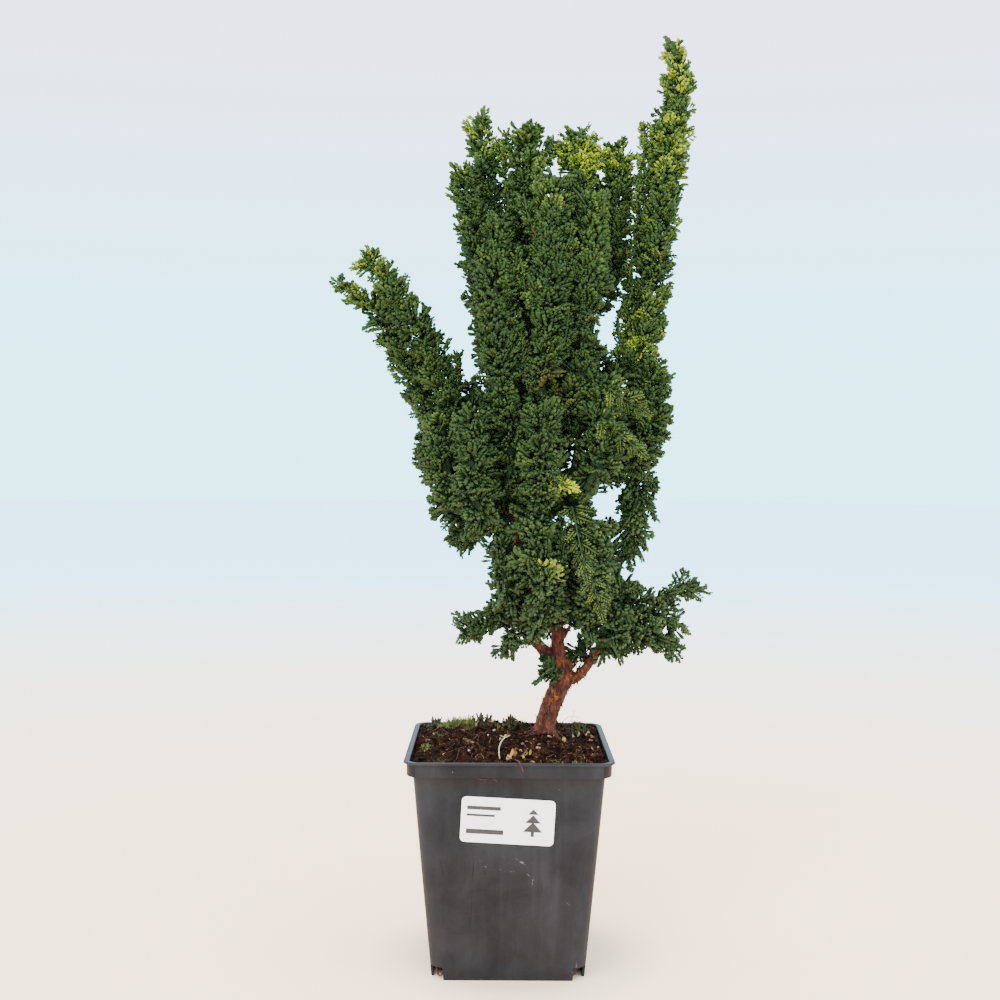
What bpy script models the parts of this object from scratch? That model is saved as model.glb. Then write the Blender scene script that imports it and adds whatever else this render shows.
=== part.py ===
"""Hinoki cypress bonsai in a square plastic nursery pot.

Frame: metres, +Z up, the pot's labelled face towards -Y, the origin on the table under the middle of the
whole object, which spreads further to the right of its pot than to the left. The lengths below are real
sizes in millimetres, measured from the middle of the pot, and MM turns them into metres.

The tree is one woody solid, and every leafy stem is a solid of its own. An upright or bushy stem is
covered by leaf points that a formula raises from it in rings. A flat spray has a slim core with lobed
fronds. The paths of the limbs and stems are chosen by hand. The leaf points and the fronds are placed
along them by a rule with a seeded draw. What would meet another stem or a limb is drawn in, turned or
shortened until it is clear.
"""

import math
import random
from dataclasses import dataclass

import bmesh
import bpy
from mathutils import Matrix, Vector
from mathutils.bvhtree import BVHTree
from mathutils.geometry import interpolate_bezier
from mathutils.kdtree import KDTree

MM = 0.001
TOUCHING_GAP = 0.3  # between pieces that touch on the real thing
MIDDLE_X = 6.6  # middle of the whole object's width, measured from the middle of the pot
SEED = 7

# Pot, half widths measured across the flats
POT_HEIGHT = 121.3
POT_WALL = 1.4
BODY_TOP = 113.0  # underside of the rim band
BASE_HALF = 41.8
SHOULDER_HALF = 51.6
BAND_HALF = 54.8
LIP_HALF = 56.4
LIP_THICKNESS = 1.2
CORNER_RADIUS = 7.5
CORNER_STEPS = 4
FLOOR_UNDERSIDE = 7.8
FLOOR_THICKNESS = 1.4
NOTCH_HEIGHT = 7.2
FOOT_HALF = 35.0  # half the length of each straight foot
DRAIN_RADIUS = 4.0
DRAIN_OFFSET = 27.0
OVERSHOOT = 5.0  # how far a cutter runs past the face that it opens

# Soil
SOIL_EDGE = 118.9
SOIL_CROWN = 5.5  # rise of the soil from its edge to its middle
SOIL_BUMP = 1.5
SOIL_BACK_RISE = 1.4
SOIL_RING_SCALES = (0.88, 0.71, 0.54, 0.37, 0.2)

# Label
LABEL_WIDTH = 50.0
LABEL_HEIGHT = 25.0
LABEL_THICKNESS = 0.3
LABEL_CORNER = 2.4
LABEL_CORNER_STEPS = 3
LABEL_CENTRE_X = -0.7
LABEL_CENTRE_Z = 89.2
LABEL_TILT = math.radians(2.9)

# Trunk and limbs: x, y, z along each axis and the radius there
TRUNK = (
    (20.5, 12, 110, 6.3), (20.5, 12, 122, 6.3), (20.9, 12, 127, 6.2), (22.8, 12, 135, 6.0),
    (26.5, 12, 145, 5.9), (30, 11.5, 154, 6.3), (31, 11, 160, 6.0), (29, 10.5, 168, 4.6),
    (28, 10, 178, 3.9), (26.5, 9, 190, 3.8), (20, 7, 206, 3.7), (11, 5, 221, 3.6), (5, 3, 236, 3.6),
    (4.5, 3, 254, 3.3), (8, 3, 274, 3.1), (13, 3, 294, 2.8), (20, 3, 314, 2.5), (25, 3, 336, 2.2),
    (28, 4, 356, 1.9),
)
HOLE_POINTS = 4  # how many of the trunk's points stand in the soil's hole
HOLE_CLEARANCE = 0.6  # on the radius, because the hole and the trunk have flat sides
LIMBS = {
    "stub": ((30.5, 11, 158, 5.0), (32.5, 10.5, 163, 4.4), (34.5, 10, 167, 2.8)),
    "left_low": ((29.5, 10.5, 166, 3.5), (21, 9, 174, 3.1), (14, 7, 182, 2.8), (7, 5, 190, 2.2)),
    "right_low": (
        (31, 11, 156, 3.8), (39, 11, 156.5, 3.1), (45, 10, 163, 2.9), (50, 9, 171, 2.7),
        (55, 8, 181, 2.3), (58, 7, 192, 1.8),
    ),
    "bare_twig": ((28.5, 10, 176, 1.8), (32, 9, 181, 1.4), (35, 8, 187, 1.0)),
    "left_arm": (
        (4.5, 3, 250, 3.0), (-6, 1, 258, 2.7), (-16, -1, 270, 2.4), (-25, -2, 284, 2.1),
    ),
    "right_bough": (
        (6, 3, 262, 3.1), (20, 1, 268, 2.9), (36, -1, 276, 2.7), (50, -2, 288, 2.5),
        (60, -2, 304, 2.2), (67, -2, 324, 1.9),
    ),
    "back_bough": ((4.7, 3, 247, 2.8), (12, 14, 256, 2.4), (18, 24, 270, 2.0)),
    "front_bough": ((6, 3, 263, 2.6), (10, -8, 276, 2.2), (14, -18, 292, 1.9)),
    "left_riser": ((8, 3, 274, 2.5), (-1, 5, 292, 2.2), (-7, 6, 308, 1.9)),
}

BARE_LIMBS = ("stub", "left_low", "right_low")  # those that the foliage does not hide

# One side of a frond's outline from its tip, round two blunt lobes: x as a fraction of its length, y as a
# fraction of its half width. The root is one point on the stem's axis.
FROND_SIDE = (
    (1.0, 0.16), (0.86, 0.3), (0.93, 0.74), (0.8, 0.86), (0.6, 0.34), (0.6, 1.0), (0.42, 0.95),
)
FROND_RIDGE = 0.5  # where along its length a frond is thickest
FROND_THICKNESS = 2.8
FROND_WIDTH = 0.46  # half width over length
FROND_DROOP = 0.10  # how far a frond's tip bends down, over its length
FROND_MARGIN = 0.45  # kept clear of every other piece
FROND_TRIES = 14
FROND_SHRINK = 0.93  # at each further try
TIP_FROND = 9.0  # length of the frond at a flat spray's tip
SHORT_FOOT = 14  # a woody foot up to this long is straight
FOOT_TAPER = (1.3, 1.15, 1.0)  # a woody foot's radius over its last one, from the limb outwards
FOOT_LEAD = 2.0  # length past a woody foot over which the leafy stem runs straight on
FOOT_MERGE = 4  # length past a woody foot where it is back on its path
PATH_STEPS = 12  # steps of the soft curve between two points of a path
CORE_PITCH = 18  # distance along a core from one swelling to the next
CORE_NARROW = 0.82  # every other swelling, over its neighbours
CORE_TAPER = 0.55  # how much slimmer a core is at its tip
CORE_TIP = 0.9  # radius of a core's last point
ROOT_WIDTH = 0.5  # a leafy body's relative width at its root
ROOT_RISE = 4.0  # how fast it widens above its root
TAPER_START = 0.55  # share of its length where it starts to narrow
TAPER_POWER = 1.6
RING_PITCH = 6.5  # distance along a bushy stem from one ring of leaf points to the next
TIP_LENGTH = 4.0  # of a bushy stem's last shoot, past the end of its path
TIP_RADIUS = 1.2
RING_SIDES = 10  # leaf points and hollows round a ring, taking turns
HOLLOW = 0.5  # how far out a hollow lies, as a share of its neighbouring leaf points
POINT_LEAN = 0.26  # how far a leaf point leans along its stem, as a share of its length
CELL_MARGIN = 0.8  # kept clear of the middle between two stems
CLEARANCE = 0.2  # by which a body is grown when it is tested against its neighbours
CELL_STEP = 0.94  # what is left of an arm's length after each test against that middle
DRAW_IN = 0.86  # what is left of a leaf point's length after each test that it fails
DRAW_PASSES = 30
TWIG_SIDES = 0  # bevel resolution: 4 sides
CORE_SIDES = 1  # bevel resolution: 6 sides
LIMB_SIDES = 2  # bevel resolution: 8 sides


@dataclass(frozen=True)
class Stem:
    """One leafy stem: its path from the limb that carries it, and how its fronds stand."""

    name: str
    path: tuple  # x, y, z points, the first on its limb's axis
    bare: float  # length of its woody foot, which belongs to the trunk
    reach: float  # from the stem's axis out to its leaf points, or a flat spray's longest frond
    flat: bool = False  # a flat spray of fronds on a slim core
    core: float = 0.0  # largest radius of a flat spray's core
    pitch: float = 0.0  # distance along a flat spray from one frond to the next
    tip: float = 0.6  # width of its leafy body at its tip, over its full width
    wood: float = 1.4  # radius of the woody foot


STEMS = (
    # The left arm
    Stem("arm_upper", ((-25, -2, 284), (-33, -3, 303), (-43, -4, 328), (-53, -5, 350), (-64, -5, 369),
                       (-76, -5, 387), (-85, -5, 400)), 10, 13.5, tip=0.55, wood=1.9),
    Stem("arm_lower", ((-16, -1, 270), (-32, 3, 285), (-47, 4, 309), (-60, 4, 333), (-71, 3, 353),
                       (-84, 1, 369), (-99, 0, 382)), 14, 13.5, tip=0.4, wood=1.8),
    # The right tall leader
    Stem("leader_right", ((67, -2, 324), (73, -1, 346), (78, 0, 376), (82, 0, 408), (86, 0, 440),
                          (91, 0, 470), (94, 0, 498), (89.5, 0, 521)),
         6, 13.5, tip=0.62, wood=1.9),
    # The crown
    Stem("leader_left", ((-7, 6, 308), (-12, 8, 340), (-14, 8, 380), (-16, 8, 415), (-18, 7, 450),
                         (-20, 6, 478)), 8, 12, tip=0.55, wood=1.8),
    Stem("leader_shoulder", ((-1, 5, 292), (-12, -3, 308), (-18, -9, 341), (-22, -11, 385),
                             (-27, -10, 418), (-31, -9, 446)), 16, 12.5, tip=0.6, wood=1.6),
    Stem("crown_heart", ((13, 3, 294), (6, -8, 297), (3, -14, 308), (3, -15, 330), (5, -14, 352)), 10, 13),
    Stem("leader_middle", ((13, 3, 294), (9, 2, 312), (7, 0, 346), (7, 0, 390), (8, 0, 435),
                           (8, 0, 472)), 16, 14.5, tip=0.7, wood=1.8),
    Stem("leader_yellow", ((28, 4, 356), (31, 4, 372), (34, 4, 402), (37, 3, 440), (37, 2, 471)),
         6, 13.5, tip=0.65, wood=1.8),
    Stem("leader_inner", ((36, -1, 276), (41, 8, 296), (45, 12, 331), (51, 12, 370), (57, 10, 410),
                          (60, 8, 440), (57, 7, 464)), 20, 13.5, tip=0.55, wood=1.9),
    Stem("plume_front", ((14, -18, 292), (17, -26, 318), (19, -29, 358), (21, -27, 400),
                         (23, -23, 436)), 8, 14.5, wood=1.8),
    Stem("plume_front_left", ((10, -8, 276), (0, -19, 294), (-7, -27, 324), (-9, -28, 370),
                              (-7, -24, 412)), 14, 14.5, wood=1.6),
    Stem("plume_front_right", ((14, -18, 292), (29, -21, 302), (38, -25, 330), (42, -25, 378),
                               (43, -21, 424)), 12, 14.5, wood=1.6),
    Stem("plume_back", ((18, 24, 270), (17, 29, 301), (13, 32, 346), (11, 31, 400), (10, 26, 444)),
         9, 15, wood=1.8),
    Stem("plume_back_right", ((18, 24, 270), (30, 28, 290), (37, 32, 330), (41, 31, 380),
                              (40, 26, 430)), 13, 15, wood=1.6),
    Stem("plume_back_left", ((12, 14, 256), (-3, 22, 280), (-11, 28, 314), (-16, 28, 365),
                             (-16, 23, 412)), 15, 15, wood=1.6),
    # The middle
    Stem("mid_front", ((8, 3, 272), (11, -12, 262), (14, -24, 258), (16, -32, 268), (17, -36, 286),
                       (16, -37, 310)), 13, 16.5),
    Stem("mid_heart", ((4.5, 3, 254), (3, -9, 260), (0, -18, 270), (-1, -23, 288), (-1, -24, 312)), 11, 14),
    Stem("mid_front_left", ((4.5, 3, 252), (-5, -10, 247), (-13, -21, 248), (-18, -28, 260),
                            (-20, -30, 280), (-19, -31, 304)), 13, 16.5),
    Stem("mid_front_right", ((20, 1, 268), (33, -12, 262), (42, -22, 264), (47, -28, 278), (49, -31, 298),
                             (49, -31, 324)), 14, 16.5),
    Stem("mid_right", ((50, -2, 288), (60, 6, 280), (69, 11, 284), (75, 12, 298), (78, 11, 318)),
         9, 15),
    Stem("mid_right_front", ((50, -2, 288), (62, -10, 278), (72, -14, 284), (79, -14, 298), (82, -12, 316),
                             (80, -10, 332)), 12, 14.5),
    Stem("mid_back_right", ((36, -1, 276), (44, 14, 268), (50, 24, 270), (54, 29, 284), (55, 31, 304),
                            (53, 30, 328)), 14, 16.5),
    Stem("mid_back", ((12, 14, 256), (17, 26, 252), (19, 36, 258), (20, 41, 274), (19, 41, 302)),
         11, 16.5),
    Stem("mid_back_left", ((4.5, 3, 254), (-4, 16, 250), (-10, 27, 252), (-14, 34, 266), (-15, 35, 294)),
         16, 16.5),
    Stem("mid_left_front", ((-6, 1, 258), (-17, -8, 250), (-26, -13, 252), (-33, -15, 264),
                            (-37, -15, 282), (-39, -14, 302)), 12, 14.5),
    Stem("mid_left", ((-16, -1, 270), (-28, 4, 262), (-36, 6, 264), (-41, 6, 278), (-45, 6, 296),
                      (-46, 6, 310)), 11, 12.5),
    Stem("mid_left_back", ((-6, 1, 258), (-16, 13, 252), (-25, 20, 256), (-30, 23, 270), (-31, 24, 290)),
         13, 14.5),
    Stem("mid_left_upper", ((-1, 5, 292), (-12, 8, 296), (-20, 9, 306), (-22, 9, 324)), 9, 10),
    Stem("hanging_right", ((50, -2, 288), (64, -1, 279), (72, 0, 264), (69, 0, 247), (72, -1, 226)),
         26, 14.5, flat=True, core=2.6, pitch=9.5),
    Stem("hanging_left", ((5, 3, 238), (-10, -3, 243), (-21, -7, 242), (-31, -8, 236)), 12, 9, tip=0.5),
    # The lower body
    Stem("skirt_front", ((27, 9.5, 184), (24, -1, 188), (19, -12, 188), (12, -20, 186)), 9, 12),
    Stem("skirt_right", ((50, 9, 171), (45, -3, 177), (38, -11, 180), (31, -16, 181)), 9, 11),
    Stem("skirt_back", ((28, 10, 178), (27, 20, 183), (24, 30, 185), (20, 38, 184)), 8, 12),
    Stem("low_front", ((20, 7, 206), (21, -7, 198), (20, -18, 200), (17, -25, 214), (14, -28, 234),
                       (12, -28, 254)), 13, 16.5),
    Stem("low_front_right", ((26.5, 9, 190), (36, -2, 186), (43, -11, 192), (47, -17, 208), (46, -20, 228),
                             (43, -20, 250)), 13, 16.5),
    Stem("low_front_left", ((11, 5, 221), (3, -4, 208), (-2, -11, 206), (-5, -16, 220), (-7, -18, 238)),
         13, 14),
    Stem("low_left", ((7, 5, 190), (0, 4, 197), (-3, 3, 212), (-3, 3, 228)), 8, 10.5),
    Stem("low_back", ((20, 7, 206), (20, 20, 198), (18, 29, 206), (16, 34, 222), (14, 35, 244)),
         13, 16.5),
    Stem("low_back_right", ((26.5, 9, 190), (34, 20, 188), (41, 27, 198), (44, 31, 216), (42, 31, 242)),
         13, 16.5),
    Stem("low_back_left", ((11, 5, 221), (2, 16, 208), (-4, 24, 212), (-8, 27, 228), (-9, 28, 246)),
         13, 12.5),
    Stem("right_upright", ((58, 7, 192), (62, 4, 202), (60, 2, 218), (52, 1, 240)), 6, 12),
    Stem("right_front", ((50, 9, 171), (54, -2, 171), (58, -10, 178), (60, -14, 194)), 9, 12),
    Stem("right_back", ((55, 8, 181), (60, 17, 179), (63, 24, 188), (61, 27, 206)), 8, 12),
    Stem("spray_behind_limb", ((45, 10, 163), (44, 17, 167), (42, 22, 177)), 7, 9),
    Stem("lowest_left_back", ((7, 5, 190), (3, 15, 187), (-1, 22, 194), (-3, 24, 206)), 8, 10.5),
    Stem("lowest_left", ((7, 5, 190), (-6, 2, 193), (-17, 0, 191), (-27, -1, 187)), 6, 9.5, tip=0.5),
    Stem("drooping_left", ((14, 7, 182), (5, 1, 182), (-1, -3, 177), (-4, -5, 169)), 8, 12.5,
         flat=True, core=2.4, pitch=9),
    Stem("branch_right_long", ((58, 7, 192), (70, 6, 202), (86, 4, 205), (100, 2, 211), (112, 0, 208)),
         9, 9, tip=0.45),
    Stem("branch_right_middle", ((55, 8, 181), (70, 4, 188), (84, 2, 191), (96, 0, 184)), 9, 9.5,
         tip=0.5),
    Stem("branch_right_low", ((50, 9, 171), (64, 0, 175), (79, -5, 177), (90, -7, 172), (96, -8, 168)),
         12, 9.5, tip=0.5),
    Stem("trunk_spray", ((29, 11.5, 153), (24, 2, 161), (19, -3, 164)), 8.5, 10.5,
         flat=True, core=1.8, pitch=6.5),
)


def clear_scene():
    """Remove every object and collection of the startup scene."""
    for item in list(bpy.data.objects):
        bpy.data.objects.remove(item, do_unlink=True)
    for item in list(bpy.data.collections):
        bpy.data.collections.remove(item)


def new_collection(name):
    """Return a new collection that is linked to the scene."""
    collection = bpy.data.collections.new(name)
    bpy.context.scene.collection.children.link(collection)
    return collection


def new_material(name, colour, roughness, metallic=0.0):
    """Return a Principled material with constant values."""
    material = bpy.data.materials.new(name)
    material.use_nodes = True
    shader = material.node_tree.nodes["Principled BSDF"]
    shader.inputs["Base Color"].default_value = (*colour, 1.0)
    shader.inputs["Roughness"].default_value = roughness
    shader.inputs["Metallic"].default_value = metallic
    return material


def paint(item, material):
    """Give an object one material in place of any it has."""
    item.data.materials.clear()
    item.data.materials.append(material)


def object_from_bmesh(name, bm, collection):
    """Turn a bmesh in millimetres into an object in metres."""
    bmesh.ops.scale(bm, vec=(MM, MM, MM), verts=bm.verts)
    bmesh.ops.recalc_face_normals(bm, faces=bm.faces)
    mesh = bpy.data.meshes.new(name)
    bm.to_mesh(mesh)
    bm.free()
    item = bpy.data.objects.new(name, mesh)
    collection.objects.link(item)
    return item


def as_cutter(item):
    """Mark an object as a cutter, which is not part of the model."""
    item.hide_render = True
    item.display_type = "WIRE"
    return item


def cut(target, cutter):
    """Take a cutter away from a target with a Boolean modifier."""
    modifier = target.modifiers.new("cut " + cutter.name, "BOOLEAN")
    modifier.operation = "DIFFERENCE"
    modifier.solver = "EXACT"
    modifier.object = cutter


def rounded_square(half, radius, z):
    """Points round a square with rounded corners, counter-clockwise, at a height or a height formula."""
    points = []
    for corner in range(4):
        turn = math.radians(90 * corner)
        centre = Vector((half - radius, half - radius, 0.0))
        for step in range(CORNER_STEPS + 1):
            angle = math.radians(90) * step / CORNER_STEPS
            point = centre + Vector((math.cos(angle), math.sin(angle), 0.0)) * radius
            points.append(Matrix.Rotation(turn, 3, "Z") @ point)
    for point in points:
        point.z = z(point.x, point.y) if callable(z) else z
    return points


def loft(name, rings, collection):
    """Return a closed solid through rings of equal length, listed from one end to the other."""
    bm = bmesh.new()
    loops = []
    for ring in rings:
        loops.append([bm.verts.new(point) for point in ring])
    bm.faces.new(reversed(loops[0]))
    bm.faces.new(loops[-1])
    for lower, upper in zip(loops, loops[1:]):
        for index in range(len(lower)):
            after = (index + 1) % len(lower)
            bm.faces.new((lower[index], lower[after], upper[after], upper[index]))
    return object_from_bmesh(name, bm, collection)


def body_half(z):
    """Half width of the pot's tapered body at a height."""
    return BASE_HALF + (SHOULDER_HALF - BASE_HALF) * z / BODY_TOP


def build_pot(parts, cutters):
    """The pot: an outer form, hollowed from above and below, with corner notches and drain holes."""
    lip_base = POT_HEIGHT - LIP_THICKNESS
    pot = loft("pot", [
        rounded_square(BASE_HALF, CORNER_RADIUS, 0.0),
        rounded_square(SHOULDER_HALF, CORNER_RADIUS, BODY_TOP),
        rounded_square(BAND_HALF, CORNER_RADIUS, BODY_TOP),
        rounded_square(BAND_HALF + 0.2, CORNER_RADIUS, lip_base),
        rounded_square(LIP_HALF, CORNER_RADIUS, lip_base),
        rounded_square(LIP_HALF, CORNER_RADIUS, POT_HEIGHT),
    ], parts)
    inner_radius = CORNER_RADIUS - POT_WALL
    floor_top = FLOOR_UNDERSIDE + FLOOR_THICKNESS
    ledge = BODY_TOP + POT_WALL
    cavity = loft("pot_cavity", [
        rounded_square(body_half(floor_top) - POT_WALL, inner_radius, floor_top),
        rounded_square(body_half(ledge) - POT_WALL, inner_radius, ledge),
        rounded_square(BAND_HALF - POT_WALL, inner_radius, ledge),
        rounded_square(BAND_HALF - POT_WALL, inner_radius, POT_HEIGHT + OVERSHOOT),
    ], cutters)
    recess = loft("pot_recess", [
        rounded_square(body_half(-OVERSHOOT) - POT_WALL, inner_radius, -OVERSHOOT),
        rounded_square(body_half(FLOOR_UNDERSIDE) - POT_WALL, inner_radius, FLOOR_UNDERSIDE),
    ], cutters)
    cut(pot, as_cutter(cavity))
    cut(pot, as_cutter(recess))
    for side_x in (-1, 1):
        for side_y in (-1, 1):
            label = f"{'right' if side_x > 0 else 'left'}_{'back' if side_y > 0 else 'front'}"
            bm = bmesh.new()
            bmesh.ops.create_cube(bm, size=1.0)
            width = BASE_HALF - FOOT_HALF + OVERSHOOT
            height = NOTCH_HEIGHT + OVERSHOOT
            bmesh.ops.scale(bm, vec=(width, width, height), verts=bm.verts)
            middle = FOOT_HALF + width / 2
            bmesh.ops.translate(bm, vec=(side_x * middle, side_y * middle, NOTCH_HEIGHT - height / 2),
                                verts=bm.verts)
            cut(pot, as_cutter(object_from_bmesh("notch_" + label, bm, cutters)))
            bm = bmesh.new()
            bmesh.ops.create_cone(bm, cap_ends=True, segments=10, radius1=DRAIN_RADIUS,
                                  radius2=DRAIN_RADIUS, depth=FLOOR_THICKNESS + 2 * OVERSHOOT)
            bmesh.ops.translate(bm, vec=(side_x * DRAIN_OFFSET, side_y * DRAIN_OFFSET, FLOOR_UNDERSIDE),
                                verts=bm.verts)
            cut(pot, as_cutter(object_from_bmesh("drain_" + label, bm, cutters)))
    return pot


def soil_height(x, y):
    """Height of the bumpy soil: domed, and a little higher towards the back."""
    away = min(1.0, max(abs(x), abs(y)) / (BAND_HALF - POT_WALL))
    dome = SOIL_CROWN * (1.0 - away ** 3)
    back = SOIL_BACK_RISE * y / BAND_HALF
    bumps = math.sin(0.31 * x + 0.7) * math.cos(0.27 * y) + 0.6 * math.sin(0.53 * x - 0.41 * y + 2.0)
    return SOIL_EDGE + dome + back + SOIL_BUMP * bumps * (1.0 - 0.6 * away)


def build_soil(parts, cutters, hole):
    """The soil: it fills the pot, follows the step of its rim, and has the trunk's hole."""
    clear = POT_WALL + TOUCHING_GAP
    radius = CORNER_RADIUS - clear
    floor_top = FLOOR_UNDERSIDE + FLOOR_THICKNESS + TOUCHING_GAP
    ledge = BODY_TOP + POT_WALL + TOUCHING_GAP
    rings = [
        rounded_square(body_half(floor_top) - clear, radius, floor_top),
        rounded_square(body_half(ledge) - clear, radius, ledge),
        rounded_square(BAND_HALF - clear, radius, ledge),
        rounded_square(BAND_HALF - clear, radius, soil_height),
    ]
    for scale in SOIL_RING_SCALES:
        rings.append(rounded_square((BAND_HALF - clear) * scale, radius * scale, soil_height))
    soil = loft("soil", rings, parts)
    cut(soil, as_cutter(hole))
    return soil


def build_label(parts):
    """The label: a thin plate with rounded corners, lying on the pot's sloping front wall."""
    outline = bpy.data.curves.new("label", "CURVE")
    outline.dimensions = "2D"
    outline.fill_mode = "BOTH"
    outline.extrude = LABEL_THICKNESS / 2 * MM
    spline = outline.splines.new("POLY")
    points = []
    for corner in range(4):
        side_x = (1, -1, -1, 1)[corner]
        side_y = (1, 1, -1, -1)[corner]
        centre = Vector((side_x * (LABEL_WIDTH / 2 - LABEL_CORNER), side_y * (LABEL_HEIGHT / 2 - LABEL_CORNER)))
        for step in range(LABEL_CORNER_STEPS + 1):
            angle = math.radians(90) * (corner + step / LABEL_CORNER_STEPS)
            points.append(centre + Vector((math.cos(angle), math.sin(angle))) * LABEL_CORNER)
    spline.points.add(len(points) - 1)
    for target, point in zip(spline.points, points):
        target.co = (point.x * MM, point.y * MM, 0.0, 1.0)
    spline.use_cyclic_u = True
    curve = bpy.data.objects.new("label_outline", outline)
    parts.objects.link(curve)
    label = mesh_from_curve(curve, "label", parts)
    slope = math.atan2(SHOULDER_HALF - BASE_HALF, BODY_TOP)
    stand_off = TOUCHING_GAP + LABEL_THICKNESS / 2
    wall_y = -body_half(LABEL_CENTRE_Z)
    normal = Vector((0.0, -math.cos(slope), -math.sin(slope)))
    centre = Vector((LABEL_CENTRE_X, wall_y, LABEL_CENTRE_Z)) + normal * stand_off
    label.matrix_world = (
        Matrix.Translation(centre * MM)
        @ Matrix.Rotation(math.radians(90) + slope, 4, "X")
        @ Matrix.Rotation(-LABEL_TILT, 4, "Z")
    )
    return label


def mesh_from_curve(curve, name, collection):
    """Turn a curve object into a welded mesh object and remove the curve."""
    bpy.context.view_layer.update()
    evaluated = curve.evaluated_get(bpy.context.evaluated_depsgraph_get())
    mesh = bpy.data.meshes.new_from_object(evaluated)
    bm = bmesh.new()
    bm.from_mesh(mesh)
    bmesh.ops.remove_doubles(bm, verts=bm.verts, dist=0.00001)
    bmesh.ops.recalc_face_normals(bm, faces=bm.faces)
    bm.to_mesh(mesh)
    bm.free()
    place = curve.matrix_world.copy()
    bpy.data.objects.remove(curve, do_unlink=True)
    item = bpy.data.objects.new(name, mesh)
    item.matrix_world = place
    collection.objects.link(item)
    return item


def tube(name, points, sides, collection):
    """Return a mesh tube along points of x, y, z and radius, in millimetres."""
    data = bpy.data.curves.new(name, "CURVE")
    data.dimensions = "3D"
    data.bevel_depth = MM
    data.bevel_resolution = sides
    data.use_fill_caps = True
    spline = data.splines.new("POLY")
    spline.points.add(len(points) - 1)
    for target, (x, y, z, radius) in zip(spline.points, points):
        target.co = (x * MM, y * MM, z * MM, 1.0)
        target.radius = radius
    curve = bpy.data.objects.new(name, data)
    collection.objects.link(curve)
    return mesh_from_curve(curve, name, collection)


def join_by_union(body, collection):
    """Join every object of a collection to a body with one Boolean union, and keep its largest shell."""
    modifier = body.modifiers.new("join", "BOOLEAN")
    modifier.operation = "UNION"
    modifier.solver = "MANIFOLD"
    modifier.operand_type = "COLLECTION"
    modifier.collection = collection
    bpy.context.view_layer.update()
    evaluated = body.evaluated_get(bpy.context.evaluated_depsgraph_get())
    joined = bpy.data.meshes.new_from_object(evaluated)
    body.modifiers.clear()
    body.data = joined
    for item in list(collection.objects):
        bpy.data.objects.remove(item, do_unlink=True)
    bm = bmesh.new()
    bm.from_mesh(joined)
    keep_largest_shell(bm)
    bm.to_mesh(joined)
    bm.free()
    joined.name = body.name


def keep_largest_shell(bm):
    """Drop loose scraps and fill sealed hollows, which are shells of their own."""
    remaining = set(bm.verts)
    shells = []
    while remaining:
        shell = set()
        front = [remaining.pop()]
        while front:
            vert = front.pop()
            shell.add(vert)
            for edge in vert.link_edges:
                other = edge.other_vert(vert)
                if other in remaining:
                    remaining.discard(other)
                    front.append(other)
        shells.append(shell)
    shells.sort(key=len, reverse=True)
    for shell in shells[1:]:
        bmesh.ops.delete(bm, geom=list(shell), context="VERTS")


def smooth_path(points, step):
    """Points at an even step along a soft curve through the given points."""
    places = [Vector(point) for point in points]
    tangents = []
    for index in range(len(places)):
        before = places[max(index - 1, 0)]
        after = places[min(index + 1, len(places) - 1)]
        tangents.append((after - before) / 6)
    dense = [places[0]]
    for index in range(len(places) - 1):
        start = places[index]
        end = places[index + 1]
        handle_start = start + tangents[index]
        handle_end = end - tangents[index + 1]
        dense.extend(interpolate_bezier(start, handle_start, handle_end, end, PATH_STEPS)[1:])
    spaced = [dense[0]]
    carried = 0.0
    for before, after in zip(dense, dense[1:]):
        length = (after - before).length
        while carried + length >= step:
            before = before.lerp(after, (step - carried) / length)
            length = (after - before).length
            spaced.append(before.copy())
            carried = 0.0
        carried += length
    spaced.append(dense[-1])
    return spaced


def split_stem(stem):
    """Divide a stem's path into its woody foot and its leafy part, which face each other squarely."""
    fine = smooth_path(stem.path, 1.0)
    first = int(round(stem.bare))
    bends = 0 if first <= SHORT_FOOT else first // 2
    axis = (fine[first] - fine[bends]).normalized()
    foot = [fine[0], fine[first]] if bends == 0 else [fine[0], fine[bends], fine[first]]
    leafy_start = fine[first] + axis * TOUCHING_GAP
    return foot, [leafy_start, leafy_start + axis * FOOT_LEAD] + fine[first + FOOT_MERGE:]


def envelope(share, tip):
    """Relative width of a leafy stem: quickly full above its root, and narrow at its tip."""
    root = min(1.0, ROOT_WIDTH + ROOT_RISE * share)
    end = 1.0 - (1.0 - tip) * max(0.0, (share - TAPER_START) / (1.0 - TAPER_START)) ** TAPER_POWER
    return root * end


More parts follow.
